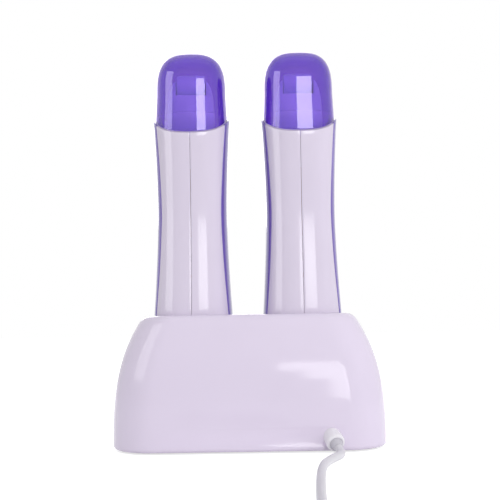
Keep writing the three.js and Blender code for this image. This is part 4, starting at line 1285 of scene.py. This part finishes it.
# Floor, backdrop and studio light

FLOOR_SIZE = 8
FLOOR_TONE = (0.86, 0.86, 0.87)
FLOOR_GLOW = 0.74
AIR_TONE = (0.97, 0.98, 1.0)
AIR_STRENGTH = 0.50
THROUGH_TONE = (1.0, 0.95, 0.82)
WHITE = (1, 1, 1)


def cleared(owner, output):
    """The nodes and links of a material or world, emptied but for its output."""
    owner.use_nodes = True
    nodes, links = owner.node_tree.nodes, owner.node_tree.links
    nodes.clear()
    return nodes, links, nodes.new(output).inputs["Surface"]


def ray_is(nodes, links, *kinds):
    """One where the ray is of any of the kinds, such as what the camera sees, and zero elsewhere."""
    path = nodes.new("ShaderNodeLightPath")
    found = path.outputs[kinds[0]]
    for kind in kinds[1:]:
        larger = nodes.new("ShaderNodeMath")
        larger.operation = "MAXIMUM"
        links.new(found, larger.inputs[0])
        links.new(path.outputs[kind], larger.inputs[1])
        found = larger.outputs[0]
    return found


def mixed(nodes, links, factor, first, second):
    mix = nodes.new("ShaderNodeMixShader")
    for source, socket in zip((factor, first, second), mix.inputs):
        links.new(source, socket)
    return mix.outputs[0]


def glow(nodes, kind, colour, strength):
    source = nodes.new(kind)
    source.inputs["Color"].default_value = (*colour, 1)
    source.inputs["Strength"].default_value = strength
    return source.outputs[0]


def make_stage():
    bpy.ops.mesh.primitive_plane_add(size=FLOOR_SIZE, location=(0, 0, 0))
    floor = finish_placing("floor")
    material = bpy.data.materials.new("pale_floor")
    nodes, links, surface_socket = cleared(material, "ShaderNodeOutputMaterial")
    matte = nodes.new("ShaderNodeBsdfDiffuse")
    matte.inputs["Color"].default_value = (*FLOOR_TONE, 1)
    both = nodes.new("ShaderNodeAddShader")
    links.new(matte.outputs[0], both.inputs[0])
    links.new(glow(nodes, "ShaderNodeEmission", WHITE, FLOOR_GLOW), both.inputs[1])
    seen = ray_is(nodes, links, "Is Camera Ray", "Is Glossy Ray", "Is Transmission Ray")
    links.new(mixed(nodes, links, seen, matte.outputs[0], both.outputs[0]), surface_socket)
    floor.data.materials.append(material)


def make_air():
    """White to the camera and in reflections, soft as light, and a little warm through the caps."""
    world = bpy.data.worlds.new("studio_air")
    bpy.context.scene.world = world
    nodes, links, surface_socket = cleared(world, "ShaderNodeOutputWorld")
    soft = glow(nodes, "ShaderNodeBackground", AIR_TONE, AIR_STRENGTH)
    warm = glow(nodes, "ShaderNodeBackground", THROUGH_TONE, 1.0)
    white = glow(nodes, "ShaderNodeBackground", WHITE, 1.0)
    through = mixed(nodes, links, ray_is(nodes, links, "Is Transmission Ray"), soft, warm)
    seen = ray_is(nodes, links, "Is Camera Ray", "Is Glossy Ray")
    links.new(mixed(nodes, links, seen, through, white), surface_socket)


# Each softbox: name, place, target, width, height, watts, and whether it gives light, reflections or both
SOFTBOXES = (
    ("softbox_right", (-0.62, 2.92, 1.475), (0, 0, 1.475), 1.2, 1.64, 31.0, "LIGHT"),
    ("softbox_side", (-1.35, 0.65, 0.55), (0, 0, 0.15), 0.8, 0.9, 5.6, "LIGHT"),
    ("softbox_left", (1.27, 0.7, 0.6), (0, 0, 0.6), 0.7, 0.9, 1.3, "LIGHT"),
    ("softbox_top", (0.0, 0.1, 1.25), (0, 0, 0.1), 1.1, 0.8, 0.6, "BOTH"),
    ("softbox_front", (0.2, -1.2, 0.7), (0, 0, 0.15), 0.8, 0.8, 3.5, "BOTH"),
    ("card_left", (1.20, 0.81, 0.75), (0, 0, 0.4), 0.83, 0.9, 7.5, "REFLECTIONS"),
)
# A tall card that all but the base reflects
TALL_CARD = ("card_right", (-0.67, 2.92, 1.1), (0, 0, 1.1), 1.1, 0.89, 20.5, "REFLECTIONS")
# Three cards in steps that only the base reflects, as one bright corner: name, near edge, low and high edge
STEPPED_CARDS = (
    ("card_band", -0.17, 0.52, 0.7),
    ("card_corner", -0.32, 0.36, 0.52),
    ("card_post", -0.47, 0.04, 0.36),
)
CARD_DISTANCE = 2.92
CARD_FAR_EDGE = -1.22
CARD_WATTS_PER_SQUARE_METRE = 21.0


def add_softbox(name, place, target, width, height, power, gives):
    bpy.ops.object.light_add(type="AREA", location=place)
    lamp = bpy.context.object
    lamp.name = name
    lamp.data.shape = "RECTANGLE"
    lamp.data.size = width
    lamp.data.size_y = height
    lamp.data.energy = power
    lamp.rotation_euler = (Vector(target) - Vector(place)).to_track_quat("-Z", "Y").to_euler()
    lamp.visible_glossy = gives != "LIGHT"
    lamp.visible_diffuse = gives != "REFLECTIONS"
    lamp.visible_transmission = False
    return lamp


def link_lamp(lamp, piece, state):
    """Lets the lamp reach only the piece, or all but the piece."""
    group = bpy.data.collections.new(lamp.name + "_pieces")
    group.objects.link(piece)
    lamp.light_linking.receiver_collection = group
    for entry in group.collection_objects:
        entry.light_linking.link_state = state


def make_lights(base):
    for softbox in SOFTBOXES:
        add_softbox(*softbox)
    link_lamp(add_softbox(*TALL_CARD), base, "EXCLUDE")
    for name, near_edge, low, high in STEPPED_CARDS:
        x, z = (near_edge + CARD_FAR_EDGE) / 2, (low + high) / 2
        width, height = near_edge - CARD_FAR_EDGE, high - low
        card = add_softbox(name, (x, CARD_DISTANCE, z), (x, 0, z), width, height,
                           CARD_WATTS_PER_SQUARE_METRE * width * height, "REFLECTIONS")
        link_lamp(card, base, "INCLUDE")


def make_everything():
    make_camera()
    finishes = make_finishes()
    pins = [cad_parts[name] for name in ("plug_pin_1", "plug_pin_2")]
    make_lead(finishes, [make_plug(finishes), *pins])
    make_stage()
    make_air()
    make_lights(make_base(finishes))
    make_wells(finishes)
    make_warmers(finishes)
    make_caps(finishes)
    make_cartridges(finishes)
    make_switches(finishes)
    make_gland(finishes)
    make_relief(finishes)
    make_feet(finishes)
    dress_cad_nodes(finishes)
    bpy.context.scene.view_settings.view_transform = "Standard"


make_everything()
